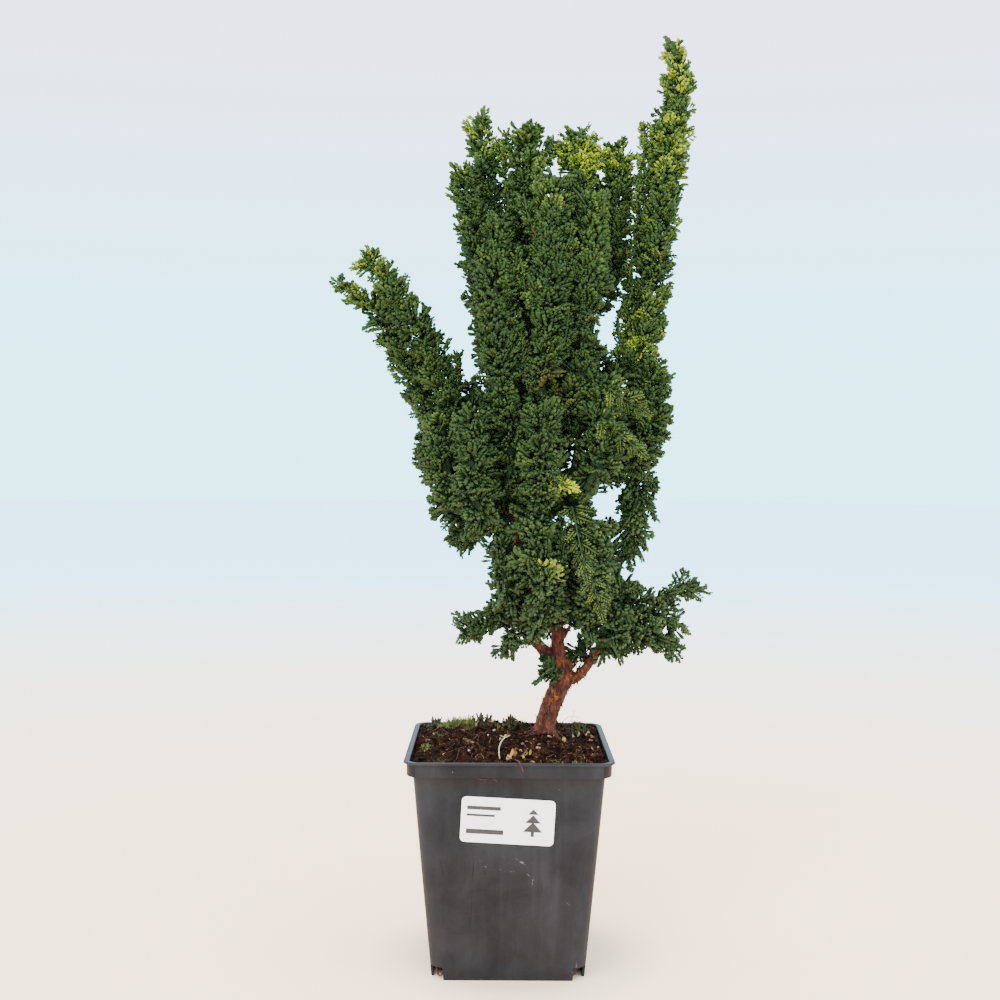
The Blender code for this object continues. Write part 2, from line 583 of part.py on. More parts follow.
def leafy_body(stem, leafy, draw):
    """Return ring centres, and the arms from each centre to its ring's leaf points and hollows."""
    count = max(4, round(len(leafy) / RING_PITCH))
    axis = (leafy[1] - leafy[0]).normalized()
    level = frame_on(axis)[0]
    centres = [leafy[0]]
    across = axis.cross(level)
    arms = []
    for side in range(RING_SIDES):
        angle = math.tau * side / RING_SIDES
        arms.append((level * math.cos(angle) + across * math.sin(angle)) * stem.wood * 1.1)
    rings = [arms]
    for index in range(count):
        share = (index + 0.35) / (count - 0.6)
        position = min(3 + int(share * (len(leafy) - 4)), len(leafy) - 1)
        axis = (leafy[min(position + 6, len(leafy) - 1)] - leafy[max(position - 6, 0)]).normalized()
        level = (level - axis * level.dot(axis)).normalized()
        across = axis.cross(level)
        radius = stem.reach * envelope(share, stem.tip)
        arms = []
        for side in range(RING_SIDES):
            angle = math.tau * (side + draw.uniform(-0.22, 0.22)) / RING_SIDES
            outward = level * math.cos(angle) + across * math.sin(angle)
            if (side + index) % 2:
                arms.append(outward * radius * HOLLOW * draw.uniform(0.8, 1.2))
            else:
                length = radius * draw.uniform(0.8, 1.14)
                arms.append((outward + axis * POINT_LEAN * draw.uniform(0.6, 1.3)) * length)
        centres.append(leafy[position])
        rings.append(arms)
    centres.append(leafy[-1] + axis * TIP_LENGTH)
    rings.append([arm.normalized() * TIP_RADIUS for arm in rings[-1]])
    return centres, rings


def keep_to_cell(stem, centres, rings, leafy_parts):
    """Shorten the arms that reach past the middle between this stem and another one."""
    own = KDTree(sum(len(leafy) for other, leafy in leafy_parts if other is stem))
    others = KDTree(sum(len(leafy) for other, leafy in leafy_parts if other is not stem))
    for other, leafy in leafy_parts:
        tree = own if other is stem else others
        for place in leafy:
            tree.insert(place, 0)
    own.balance()
    others.balance()
    for centre, arms in zip(centres[1:], rings[1:]):
        for index, arm in enumerate(arms):
            while arm.length > stem.wood:
                place = centre + arm
                if own.find(place)[2] + CELL_MARGIN <= others.find(place)[2]:
                    break
                arm = arm * CELL_STEP
            arms[index] = arm


def body_tree(centres, rings, grow=0.0):
    """Return a search tree of a body's side faces, grown by a share of a millimetre."""
    points = []
    for centre, arms in zip(centres, rings):
        for arm in arms:
            points.append(centre + arm * (1.0 + grow / max(arm.length, 0.5)))
    faces = []
    for ring in range(len(rings) - 1):
        for side in range(RING_SIDES):
            after = (side + 1) % RING_SIDES
            first = ring * RING_SIDES
            faces.append((first + side, first + after, first + RING_SIDES + after))
            faces.append((first + side, first + RING_SIDES + after, first + RING_SIDES + side))
    return BVHTree.FromPolygons(points, faces), faces


def draw_in_crossings(bodies, fixed_trees):
    """Shorten the arms of faces that meet another body or a limb, pass after pass, until all are clear."""
    trees = {name: body_tree(*body)[0] for name, body in bodies.items()}
    for _ in range(DRAW_PASSES):
        clear = True
        for name, (centres, rings) in bodies.items():
            grown, faces = body_tree(centres, rings, CLEARANCE)
            own = trees[name]
            struck = {pair[0] for pair in own.overlap(own) if not set(faces[pair[0]]) & set(faces[pair[1]])}
            for other, tree in list(trees.items()) + list(fixed_trees.items()):
                if other != name:
                    struck.update(pair[0] for pair in grown.overlap(tree))
            touched = {corner for face in struck for corner in faces[face]}
            for corner in touched:
                ring, side = divmod(corner, RING_SIDES)
                if ring > 0:
                    rings[ring][side] = rings[ring][side] * DRAW_IN
            if touched:
                clear = False
                trees[name] = body_tree(centres, rings)[0]
        if clear:
            return


def body_object(name, centres, rings, collection):
    """Return the closed solid of a leafy body, split into triangles."""
    item = loft(name, [[centre + arm for arm in arms] for centre, arms in zip(centres, rings)], collection)
    bm = bmesh.new()
    bm.from_mesh(item.data)
    bmesh.ops.triangulate(bm, faces=bm.faces, quad_method="FIXED")
    bm.to_mesh(item.data)
    bm.free()
    return item


def core_points(stem, leafy):
    """Points and radii of a stem's leafy core: thin at its root, full along it, slim at its tip."""
    count = max(2, round(len(leafy) / CORE_PITCH))
    chosen = [(leafy[0], stem.wood * 1.02), (leafy[1], stem.wood * 1.1)]
    for index in range(1, count + 1):
        share = index / (count + 1)
        place = leafy[min(2 + round(share * (len(leafy) - 3)), len(leafy) - 3)]
        swell = stem.core * (1.0 - CORE_TAPER * share ** 2) * (1.0 if index % 2 else CORE_NARROW)
        chosen.append((place, swell))
    chosen.append((leafy[-1], CORE_TIP))
    return [(*place, radius) for place, radius in chosen]


def frond(length):
    """Return a bmesh of one frond along +X in millimetres: a flat, lobed blade, thickest in its middle."""
    left = [(x * length, y * FROND_WIDTH * length) for x, y in FROND_SIDE]
    outline = left + [(0.0, 0.0)] + [(x, -y) for x, y in reversed(left)]
    bm = bmesh.new()
    bmesh.ops.create_uvsphere(bm, u_segments=len(outline), v_segments=2, radius=1.0)
    sector = math.tau / len(outline)
    for vert in bm.verts:
        if abs(vert.co.z) > 0.5:
            vert.co = (FROND_RIDGE * length, 0.0, math.copysign(FROND_THICKNESS / 2, vert.co.z))
        else:
            index = round((math.atan2(vert.co.y, vert.co.x) % math.tau) / sector) % len(outline)
            vert.co = (*outline[index], 0.0)
        vert.co.z -= FROND_DROOP * length * (vert.co.x / length) ** 2
    return bm


def frame_on(axis):
    """Two directions square to an axis: one level, one as near to upright as can be."""
    upright = Vector((0.0, 0.0, 1.0))
    if abs(axis.dot(upright)) > 0.85:
        upright = Vector((0.0, -1.0, 0.0))
    level = axis.cross(upright).normalized()
    return level, level.cross(axis).normalized()


def placed(bm, origin, outward, normal):
    """Move a frond so that it grows from an origin, outward, with a face normal."""
    across = normal.cross(outward).normalized()
    facing = outward.cross(across).normalized()
    turn = Matrix((outward, across, facing)).transposed().to_4x4()
    bm.transform(Matrix.Translation(origin) @ turn)
    return bm


def tree_of(bm, grow=0.0):
    """Return a search tree of a bmesh, grown outward by a margin."""
    bm.normal_update()
    points = [vert.co + vert.normal * grow for vert in bm.verts]
    faces = [[vert.index for vert in face.verts] for face in bm.faces]
    return BVHTree.FromPolygons(points, faces)


def tree_of_object(item):
    """Return a search tree of an object's mesh, in millimetres."""
    points = [vert.co / MM for vert in item.data.vertices]
    faces = [list(face.vertices) for face in item.data.polygons]
    return BVHTree.FromPolygons(points, faces)


def frond_stations(stem, leafy, draw):
    """Yield each frond's root, direction, face normal and length along a flat spray, its tip last."""
    count = max(2, round(len(leafy) / stem.pitch))
    for index in range(count):
        share = (index + 0.45) / count
        position = min(int(share * len(leafy)), len(leafy) - 2)
        axis = (leafy[min(position + 2, len(leafy) - 1)] - leafy[max(position - 2, 0)]).normalized()
        level, upright = frame_on(axis)
        azimuth = (0.0 if index % 2 else math.pi) + draw.uniform(-0.25, 0.25)
        rise = math.radians(draw.uniform(38, 50))
        outward = level * math.cos(azimuth) + upright * math.sin(azimuth)
        direction = (outward * math.cos(rise) + axis * math.sin(rise)).normalized()
        length = stem.reach * (1.0 - 0.3 * share ** 3) * draw.uniform(0.92, 1.06)
        yield leafy[position], direction, upright, length
    tip = leafy[-5]
    axis = (leafy[-1] - tip).normalized()
    yield tip, axis, frame_on(axis)[1], TIP_FROND


def grow_fronds(stem, leafy, obstacles, draw, joiners):
    """Make a stem's fronds as objects, leaving out those that can't be clear of the other pieces."""
    for origin, direction, normal, length in frond_stations(stem, leafy, draw):
        for attempt in range(FROND_TRIES):
            sway = 0.12 * attempt
            turned = (direction + Vector((draw.uniform(-sway, sway) for _ in range(3)))).normalized()
            size = length * FROND_SHRINK ** attempt
            shape = placed(frond(size), origin, turned, normal)
            grown = tree_of(shape, FROND_MARGIN)
            if not any(grown.overlap(other) for other in obstacles):
                joiners.objects.link(object_in(shape, stem.name))
                break
            shape.free()


def object_in(bm, name):
    """Turn a frond's bmesh into an object that no collection holds yet."""
    bmesh.ops.scale(bm, vec=(MM, MM, MM), verts=bm.verts)
    mesh = bpy.data.meshes.new(name)
    bm.to_mesh(mesh)
    bm.free()
    return bpy.data.objects.new("frond", mesh)


def build_tree(parts, cutters, joiners):
    """The trunk with its limbs, the leafy stems and the cutter of the hole in the soil."""
    trunk = tube("trunk", TRUNK, LIMB_SIDES, parts)
    for name, points in LIMBS.items():
        tube(name, points, LIMB_SIDES if name in BARE_LIMBS else CORE_SIDES, joiners)
    leafy_parts = []
    for stem in STEMS:
        foot, leafy = split_stem(stem)
        radii = [stem.wood * factor for factor in FOOT_TAPER][-len(foot):]
        tube("foot", [(*place, radius) for place, radius in zip(foot, radii)], TWIG_SIDES, joiners)
        leafy_parts.append((stem, leafy))
    join_by_union(trunk, joiners)
    bodies = {}
    for number, (stem, leafy) in enumerate(leafy_parts):
        if stem.flat:
            tube(stem.name, core_points(stem, leafy), CORE_SIDES, parts)
        else:
            bodies[stem.name] = leafy_body(stem, leafy, random.Random(SEED + number))
            keep_to_cell(stem, *bodies[stem.name], leafy_parts)
    fixed = {item.name: tree_of_object(item) for item in parts.objects}
    draw_in_crossings(bodies, fixed)
    for name, (centres, rings) in bodies.items():
        body_object(name, centres, rings, parts)
    trees = {item.name: tree_of_object(item) for item in parts.objects}
    for number, (stem, leafy) in enumerate(leafy_parts):
        if stem.flat:
            draw = random.Random(SEED * 1000 + number)
            obstacles = [tree for name, tree in trees.items() if name != stem.name]
            grow_fronds(stem, leafy, obstacles, draw, joiners)
            join_by_union(parts.objects[stem.name], joiners)
            trees[stem.name] = tree_of_object(parts.objects[stem.name])
    foot_x, foot_y, foot_z, foot_radius = TRUNK[0]
    hole_points = [(foot_x, foot_y, foot_z - TOUCHING_GAP, foot_radius)] + list(TRUNK[1:HOLE_POINTS])
    widened = [(x, y, z, radius + HOLE_CLEARANCE) for x, y, z, radius in hole_points]
    hole = tube("trunk_hole", widened, LIMB_SIDES, cutters)
    return trunk, hole


def main():
    """Build the whole model."""
    clear_scene()
    parts = new_collection("hinoki_cypress_bonsai")
    cutters = new_collection("cutters")
    joiners = new_collection("joiners")
    trunk, hole = build_tree(parts, cutters, joiners)
    pot = build_pot(parts, cutters)
    soil = build_soil(parts, cutters, hole)
    label = build_label(parts)
    paint(pot, new_material("dark_grey_plastic", (0.085, 0.086, 0.089), 0.5))
    paint(soil, new_material("peat", (0.055, 0.028, 0.016), 0.95))
    paint(label, new_material("label_paper", (0.86, 0.80, 0.81), 0.5))
    paint(trunk, new_material("bark", (0.23, 0.075, 0.035), 0.85))
    for stem in STEMS:
        paint(parts.objects[stem.name], new_material("foliage_" + stem.name, (0.035, 0.105, 0.022), 0.6))
    bpy.data.collections.remove(joiners)
    for item in list(parts.objects) + list(cutters.objects):
        item.location.x -= MIDDLE_X * MM


main()
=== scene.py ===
"""Looks of the hinoki cypress bonsai in its square nursery pot.

Growth is laid out in millimetres, measured from the middle of the pot on the table, and each finished mesh
is brought into the frame by GROWTH_TO_FRAME. Every leafy stem of the frame is replaced by one piece: a dark
inner mass, painted shade that stands for the shadow deep inside the foliage, with flat sprays of blunt,
scale-leaved shoots standing out of it.
"""

import logging
from dataclasses import dataclass, field
from enum import Enum
from math import acos, atan2, copysign, cos, hypot, pi, radians, sin, sqrt, tau
from random import Random
from typing import Iterator, Optional, Sequence, Union

import bmesh
import bpy
import numpy as np
from mathutils import Matrix, Vector, noise
from mathutils.geometry import interpolate_bezier
from mathutils.kdtree import KDTree


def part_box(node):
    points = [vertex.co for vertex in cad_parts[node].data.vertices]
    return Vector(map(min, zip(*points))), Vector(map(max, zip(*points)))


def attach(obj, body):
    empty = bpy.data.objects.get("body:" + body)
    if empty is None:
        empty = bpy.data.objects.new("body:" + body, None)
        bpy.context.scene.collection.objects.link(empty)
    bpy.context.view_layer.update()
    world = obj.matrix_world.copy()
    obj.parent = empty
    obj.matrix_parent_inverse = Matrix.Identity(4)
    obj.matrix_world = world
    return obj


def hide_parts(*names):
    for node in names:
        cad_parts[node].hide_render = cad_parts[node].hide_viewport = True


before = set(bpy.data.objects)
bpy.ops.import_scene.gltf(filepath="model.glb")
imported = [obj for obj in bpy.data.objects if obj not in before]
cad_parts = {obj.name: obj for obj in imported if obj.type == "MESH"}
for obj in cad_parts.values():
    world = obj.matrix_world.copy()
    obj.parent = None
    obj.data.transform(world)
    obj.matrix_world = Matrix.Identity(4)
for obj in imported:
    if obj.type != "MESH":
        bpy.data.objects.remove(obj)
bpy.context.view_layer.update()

Shape = bmesh.types.BMesh
Socket = bpy.types.NodeSocket
Piece = bpy.types.Object
Mesh = bpy.types.Mesh
Material = bpy.types.Material
Colour = tuple[float, float, float]
Stops = tuple[tuple[float, Colour], ...]
Rows = tuple[tuple[float, ...], ...]
Line = Sequence[Sequence[float]]
LOG = logging.getLogger("bonsai")
MM = 0.001
POT_LOW, POT_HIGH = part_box("pot")
POT_MIDDLE = Vector(((POT_LOW.x + POT_HIGH.x) / 2, (POT_LOW.y + POT_HIGH.y) / 2, POT_LOW.z))
GROWTH_TO_FRAME = Matrix.Translation(POT_MIDDLE) @ Matrix.Scale(MM, 4)
UP = Vector((0.0, 0.0, 1.0))
FRONT = Vector((0.0, -1.0, 0.0))

# The pot's heights, its half widths across the flats, and where the trunk stands in it
POT_TOP = 121.3
BODY_TOP = 113.0
BASE_HALF = 41.8
SHOULDER_HALF = 51.6
BAND_HALF = 54.8
LIP_HALF = 56.4
WALL = 1.4
CORNER_RADIUS = 7.5
FLOOR_UNDERSIDE = 7.8
FLOOR_TOP = 9.2
SOIL_GAP = 0.3
TRUNK_FOOT = Vector((20.5, 12.0))
TRUNK_FOOT_RADIUS = 6.6


class Slot(Enum):
    """Material slots of the record."""

    PLASTIC = "pot_plastic"
    PEAT = "peat"
    PAPER = "label_paper"
    BARK = "bark"
    FOLIAGE = "foliage"


@dataclass(frozen=True)
class Manner:
    """How sprays stand on a stem: the surface for each, the core's share of the radius, the least and
    greatest lean, the share that face outwards, and the shapes, with their shares added up."""

    area: float
    core: float
    low: float
    high: float
    facing: float
    mixture: tuple[tuple[str, float], ...]


class Habit(Enum):
    """The kinds of leafy stem: upright, rounded, and loose and level."""

    PLUME = Manner(23.0, 0.24, 0.0, 1.2, 0.62,
                   (("feather", 0.14), ("fan", 0.30), ("hand", 0.80), ("tuft", 1.0)))
    BUSH = Manner(29.0, 0.32, -0.6, 0.9, 0.8,
                   (("feather", 0.20), ("fan", 0.84), ("hand", 0.96), ("tuft", 1.0)))
    SPRAY = Manner(25.0, 0.18, 0.2, 1.2, 0.62,
                   (("feather", 0.22), ("fan", 0.50), ("hand", 0.85), ("tuft", 1.0)))


def rows(text: str) -> Rows:
    """Return rows of numbers, from text with a comma between rows."""
    return tuple(tuple(float(word) for word in row.split()) for row in text.split(","))


def paths(text: str) -> tuple[Rows, ...]:
    """Return one table of rows for each line of a text."""
    return tuple(rows(line) for line in text.strip().splitlines())


def body_half(z: float) -> float:
    """Return the half width of the pot's tapered body at a height."""
    return BASE_HALF + (SHOULDER_HALF - BASE_HALF) * z / BODY_TOP


def blend(start: float, end: float, value: float) -> float:
    """Return a smooth step from 0 at start to 1 at end."""
    share = min(1.0, max(0.0, (value - start) / (end - start)))
    return share * share * (3.0 - 2.0 * share)


def link(thing: Piece) -> None:
    """Link an object to the scene."""
    bpy.context.scene.collection.objects.link(thing)


def piece_from(name: str, bm: Shape, material: Material) -> Piece:
    """Turn a bmesh in growth millimetres into a piece in the frame.

    Args:
        name: The piece's name.
        bm: The finished shape, which is freed.
        material: Its finish.

    Returns:
        The new object, linked to the scene, at the origin.
    """
    mesh = bpy.data.meshes.new(name)
    bm.to_mesh(mesh)
    bm.free()
    mesh.transform(GROWTH_TO_FRAME)
    mesh.materials.append(material)
    piece = bpy.data.objects.new(name, mesh)
    link(piece)
    return piece


def settle(piece: Piece, slot: Slot, *nodes: str) -> None:
    """Ride a piece on the object's one body, and let it stand for CAD nodes.

    Args:
        piece: The finished piece.
        slot: Its finish's slot in the record; not used.
        nodes: The nodes that it replaces, if any.
    """
    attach(piece, "root")
    if nodes:
        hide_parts(*nodes)
    LOG.info("%s: %d faces", piece.name, len(piece.data.polygons))


def modified(piece: Piece, kind: str, **settings: object) -> None:
    """Put one modifier on a piece and apply it to its mesh.

    Args:
        piece: The object whose mesh is changed.
        kind: The modifier's type.
        settings: Its values by name.
    """
    modifier = piece.modifiers.new(kind.lower(), kind)
    for key, value in settings.items():
        setattr(modifier, key, value)
    bpy.context.view_layer.update()
    evaluated = piece.evaluated_get(bpy.context.evaluated_depsgraph_get())
    mesh = bpy.data.meshes.new_from_object(evaluated)
    piece.modifiers.clear()
    old = piece.data
    piece.data = mesh
    bpy.data.meshes.remove(old)
    mesh.name = piece.name


def tube_mesh(points: Line, sides: int) -> Mesh:
    """Make a closed tube along points of x, y, z and radius.

    Args:
        points: The centre line with its radii.
        sides: Faces round the tube, an even number from 4.

    Returns:
        A welded mesh.
    """
    data = bpy.data.curves.new("tube", "CURVE")
    data.dimensions = "3D"
    data.bevel_depth = 1.0
    data.bevel_resolution = sides // 2 - 2
    data.use_fill_caps = True
    spline = data.splines.new("POLY")
    spline.points.add(len(points) - 1)
    for target, (x, y, z, radius) in zip(spline.points, points):
        target.co = (x, y, z, 1.0)
        target.radius = radius
    curve = bpy.data.objects.new("tube", data)
    link(curve)
    bpy.context.view_layer.update()
    evaluated = curve.evaluated_get(bpy.context.evaluated_depsgraph_get())
    mesh = bpy.data.meshes.new_from_object(evaluated)
    bpy.data.objects.remove(curve, do_unlink=True)
    bpy.data.curves.remove(data)
    bm = bmesh.new()
    bm.from_mesh(mesh)
    bmesh.ops.remove_doubles(bm, verts=bm.verts, dist=0.001)
    bmesh.ops.recalc_face_normals(bm, faces=bm.faces)
    bm.to_mesh(mesh)
    bm.free()
    return mesh


def add_tube(bm: Shape, points: Line, sides: int) -> int:
    """Add a tube to a bmesh.

    Args:
        bm: The shape so far.
        points: Its centre line with radii.
        sides: Its faces round.

    Returns:
        How many vertices it has.
    """
    mesh = tube_mesh(points, sides)
    count = len(mesh.vertices)
    bm.from_mesh(mesh)
    bpy.data.meshes.remove(mesh)
    return count


def merge(bm: Shape, part: Shape) -> int:
    """Add a small closed shape to a bmesh, and free it.

    Args:
        bm: The shape so far.
        part: The small shape.

    Returns:
        How many vertices it has.
    """
    bmesh.ops.recalc_face_normals(part, faces=part.faces)
    mesh = bpy.data.meshes.new("part")
    part.to_mesh(mesh)
    part.free()
    count = len(mesh.vertices)
    bm.from_mesh(mesh)
    bpy.data.meshes.remove(mesh)
    return count


def add_blade(bm: Shape, root: Vector, heading: float, pitch: float, length: float,
              width: float, curl: float) -> None:
    """Add one small thin leaf that curls up from its root.

    Args:
        bm: The shape so far.
        root: Where the leaf starts.
        heading: Its direction round the upright, in radians.
        pitch: How steeply it starts, in radians.
        length: Its length.
        width: Its greatest width.
        curl: How far it bends from root to tip, in radians.
    """
    leaf = bmesh.new()
    bmesh.ops.create_grid(leaf, x_segments=5, y_segments=2, size=0.5)
    for vert in leaf.verts:
        share = vert.co.x + 0.5
        half = width * (0.08 + 0.92 * sin(pi * (0.06 + 0.9 * share)))
        bend = curl * share
        across = vert.co.y * half
        vert.co = Vector((length * sin(bend) / curl, across,
                          length * (1.0 - cos(bend)) / curl + abs(across) * 0.35))
    bmesh.ops.solidify(leaf, geom=leaf.faces[:], thickness=0.16)
    turn = Matrix.Rotation(heading, 4, "Z") @ Matrix.Rotation(-pitch, 4, "Y")
    leaf.transform(Matrix.Translation(root) @ turn)
    merge(bm, leaf)


def soft_path(points: Line, step: float) -> list[Vector]:
    """Return points at an even step along a soft curve through the given points.

    Args:
        points: Rows that start with x, y, z. Any further value is not used.
        step: The distance from one point to the next.

    Returns:
        The points.
    """
    places = [Vector(point[:3]) for point in points]
    last = len(places) - 1
    tangents = [(places[min(i + 1, last)] - places[max(i - 1, 0)]) / 6 for i in range(last + 1)]
    dense = [places[0]]
    for i in range(last):
        start, end = places[i], places[i + 1]
        dense.extend(interpolate_bezier(start, start + tangents[i], end - tangents[i + 1], end, 12)[1:])
    spaced = [dense[0]]
    carried = 0.0
    for before, after in zip(dense, dense[1:]):
        length = (after - before).length
        while carried + length >= step:
            before = before.lerp(after, (step - carried) / length)
            length = (after - before).length
            spaced.append(before.copy())
            carried = 0.0
        carried += length
    spaced.append(dense[-1])
    return spaced


def soft_tube(points: Line, step: float) -> list[tuple[float, ...]]:
    """Return a soft path with radii that follow those of its nearest given points.

    Args:
        points: Rows of x, y, z and radius.
        step: The distance between points.

    Returns:
        Such rows.
    """
    path = soft_path(points, step)
    lengths = [0.0]
    for before, after in zip(points, points[1:]):
        lengths.append(lengths[-1] + (Vector(after[:3]) - Vector(before[:3])).length)
    radii = np.interp(np.linspace(0.0, lengths[-1], len(path)), lengths, [point[3] for point in points])
    return [(*place, float(radius)) for place, radius in zip(path, radii)]


def set_stops(ramp: bpy.types.ColorRamp, stops: Stops) -> None:
    """Set a colour ramp's stops.

    Args:
        ramp: The ramp, as new.
        stops: Positions and colours.
    """
    while len(ramp.elements) < len(stops):
        ramp.elements.new(0.5)
    for element, (position, colour) in zip(ramp.elements, stops):
        element.position = position
        element.color = (*colour, 1.0)


class Sheet:
    """A material's node tree, with short calls for the nodes that the finishes share."""

    def __init__(self, name: str) -> None:
        """Start a material with a Principled shader.

        Args:
            name: The material's name.
        """
        self.material = bpy.data.materials.new(name)
        self.material.use_nodes = True
        self.tree = self.material.node_tree
        self.shader = self.tree.nodes["Principled BSDF"]
        self.place = self.tree.nodes.new("ShaderNodeTexCoord").outputs["Object"]

    def plug(self, socket: Socket, value: object) -> None:
        """Link a socket to another, or set its constant value.

        Args:
            socket: The input to fill.
            value: A socket, a number, a vector or a colour.
        """
        if isinstance(value, Socket):
            self.tree.links.new(value, socket)
        else:
            socket.default_value = (*value, 1.0) if socket.type == "RGBA" else value

    def node(self, kind: str, inputs: dict[Union[str, int], object], **settings: object) -> bpy.types.Node:
        """Add a node.

        Args:
            kind: The end of its type's name.
            inputs: Values for its inputs, by name or number.
            settings: Its own settings.

        Returns:
            The node.
        """
        node = self.tree.nodes.new("ShaderNode" + kind)
        for key, value in settings.items():
            setattr(node, key, value)
        for key, value in inputs.items():
            self.plug(node.inputs[key], value)
        return node

    def stretched(self, scale: Colour) -> Socket:
        """Return the object's coordinates, scaled."""
        return self.node("Mapping", {"Scale": scale, "Vector": self.place}).outputs["Vector"]

    def height(self) -> Socket:
        """Return the height above the table, in metres."""
        return self.node("SeparateXYZ", {0: self.place}).outputs[2]

    def distance(self, place: Socket) -> Socket:
        """Return how far a place is from the origin."""
        return self.node("VectorMath", {0: place}, operation="LENGTH").outputs["Value"]

    def spot(self, middle: Colour, halves: Colour, turn: float) -> Socket:
        """Return a soft oval mask.

        Args:
            middle: Its middle in growth millimetres.
            halves: Its half sizes.
            turn: Its turn in degrees about the front's normal.

        Returns:
            The mask.
        """
        inputs = {"Location": GROWTH_TO_FRAME @ Vector(middle), "Rotation": (0.0, radians(turn), 0.0),
                  "Scale": Vector(halves) * MM, "Vector": self.place}
        near = self.node("Mapping", inputs, vector_type="TEXTURE").outputs["Vector"]
        return self.span(self.distance(near), 1.0, 0.45)

    def noise(self, scale: float, detail: float = 3.0, rough: float = 0.5, place: Optional[Socket] = None,
              warp: float = 0.0) -> Socket:
        """Return a noise value with so many cells a metre."""
        return self.node("TexNoise", {"Vector": place or self.place, "Scale": scale, "Detail": detail,
                                      "Roughness": rough, "Distortion": warp}).outputs["Fac"]

    def cells(self, scale: float, place: Optional[Socket] = None, feature: str = "F1") -> Socket:
        """Return the distance of a Voronoi pattern with so many cells a metre."""
        return self.node("TexVoronoi", {"Vector": place or self.place, "Scale": scale},
                         feature=feature).outputs["Distance"]

    def attribute(self, name: str) -> Socket:
        """Return a value that the mesh stores at its points."""
        return self.node("Attribute", {}, attribute_name=name).outputs["Fac"]

    def math(self, operation: str, a: object, b: object, clamp: bool = False) -> Socket:
        """Return the result of an operation on two values."""
        return self.node("Math", {0: a, 1: b}, operation=operation, use_clamp=clamp).outputs[0]

    def ramp(self, factor: Socket, stops: Stops) -> Socket:
        """Return a colour that runs through stops.

        Args:
            factor: The value to colour.
            stops: Positions and colours.

        Returns:
            The colour.
        """
        node = self.node("ValToRGB", {"Fac": factor})
        set_stops(node.color_ramp, stops)
        return node.outputs["Color"]

    def mix(self, factor: Socket, a: object, b: object) -> Socket:
        """Return a blend of two colours."""
        return self.node("Mix", {0: factor, 6: a, 7: b}, data_type="RGBA").outputs[2]

    def span(self, value: Socket, low: float, high: float, to_low: float = 0.0,
             to_high: float = 1.0) -> Socket:
        """Return a value brought from one range to another and clamped."""
        return self.node("MapRange", {"Value": value, "From Min": low, "From Max": high, "To Min": to_low,
                                      "To Max": to_high}).outputs["Result"]

    def bump(self, height: Socket, depth: float, strength: float, under: Optional[Socket] = None) -> Socket:
        """Return a normal raised by a height, whose 1 is a depth in metres, over another normal."""
        inputs = {"Strength": strength, "Distance": depth, "Height": height}
        return self.node("Bump", inputs | ({"Normal": under} if under else {})).outputs["Normal"]

    def finish(self, colour: object, roughness: object, normal: Optional[Socket] = None,
               **values: float) -> Material:
        """Fill in the shader.

        Args:
            colour: Its base colour.
            roughness: Its roughness.
            normal: Its normal, if it has relief.
            values: Other constant inputs, with underscores for spaces.

        Returns:
            The material.
        """
        self.plug(self.shader.inputs["Base Color"], colour)
        self.plug(self.shader.inputs["Roughness"], roughness)
        if normal:
            self.plug(self.shader.inputs["Normal"], normal)
        for key, value in values.items():
            self.shader.inputs[key.replace("_", " ")].default_value = value
        return self.material


@dataclass(frozen=True)
class LeafFinish:
    """Scale leaves: dark blue-green inside, painted shade; fresh green outside, with painted light; lime at
    the growing tips.
    """

    depth: float = 0.0004
    scale_cells: float = 760.0
    stops: Stops = (
        (0.0, (0.024, 0.041, 0.013)), (0.22, (0.026, 0.046, 0.011)), (0.45, (0.034, 0.059, 0.012)),
        (0.66, (0.072, 0.106, 0.017)), (0.84, (0.18, 0.22, 0.017)), (1.0, (0.34, 0.37, 0.013)),
    )
    dry_colour: Colour = (0.14, 0.062, 0.020)
    bloom: Colour = (0.058, 0.078, 0.046)

    def material(self) -> Material:
        """Return the foliage material, which reads tone, glow and dry from the mesh. Tone and glow carry
        painted shade and light, and glow also the young growth.

        Returns:
            The material.
        """
        sheet = Sheet("scale_leaves")
        scales = sheet.cells(self.scale_cells)
        mottle = sheet.noise(160.0, 4.0)
        patches = sheet.noise(28.0, 2.0)
        # Tone and glow bring painted shade and light into the value that the ramp colours; glow also brings
        # young growth.
        value = sheet.math("MULTIPLY", sheet.attribute("tone"), 0.50)
        value = sheet.math("ADD", value, sheet.attribute("glow"))
        value = sheet.math("ADD", value, sheet.span(mottle, 0.3, 0.7, -0.09, 0.09))
        value = sheet.math("ADD", value, sheet.span(patches, 0.35, 0.65, -0.05, 0.05))
        value = sheet.math("SUBTRACT", value, sheet.span(scales, 0.25, 0.8, 0.0, 0.13), clamp=True)
        green = sheet.ramp(value, self.stops)
        dull = sheet.span(sheet.height(), 0.32, 0.20, 0.0, 0.36)
        dull = sheet.math("MULTIPLY", dull, sheet.span(value, 0.15, 0.5))
        green = sheet.mix(dull, green, self.bloom)
        colour = sheet.mix(sheet.attribute("dry"), green, self.dry_colour)
        normal = sheet.bump(sheet.math("SUBTRACT", 1.0, scales), self.depth, 0.7)
        return sheet.finish(colour, 0.62, normal, Specular_IOR_Level=0.12)


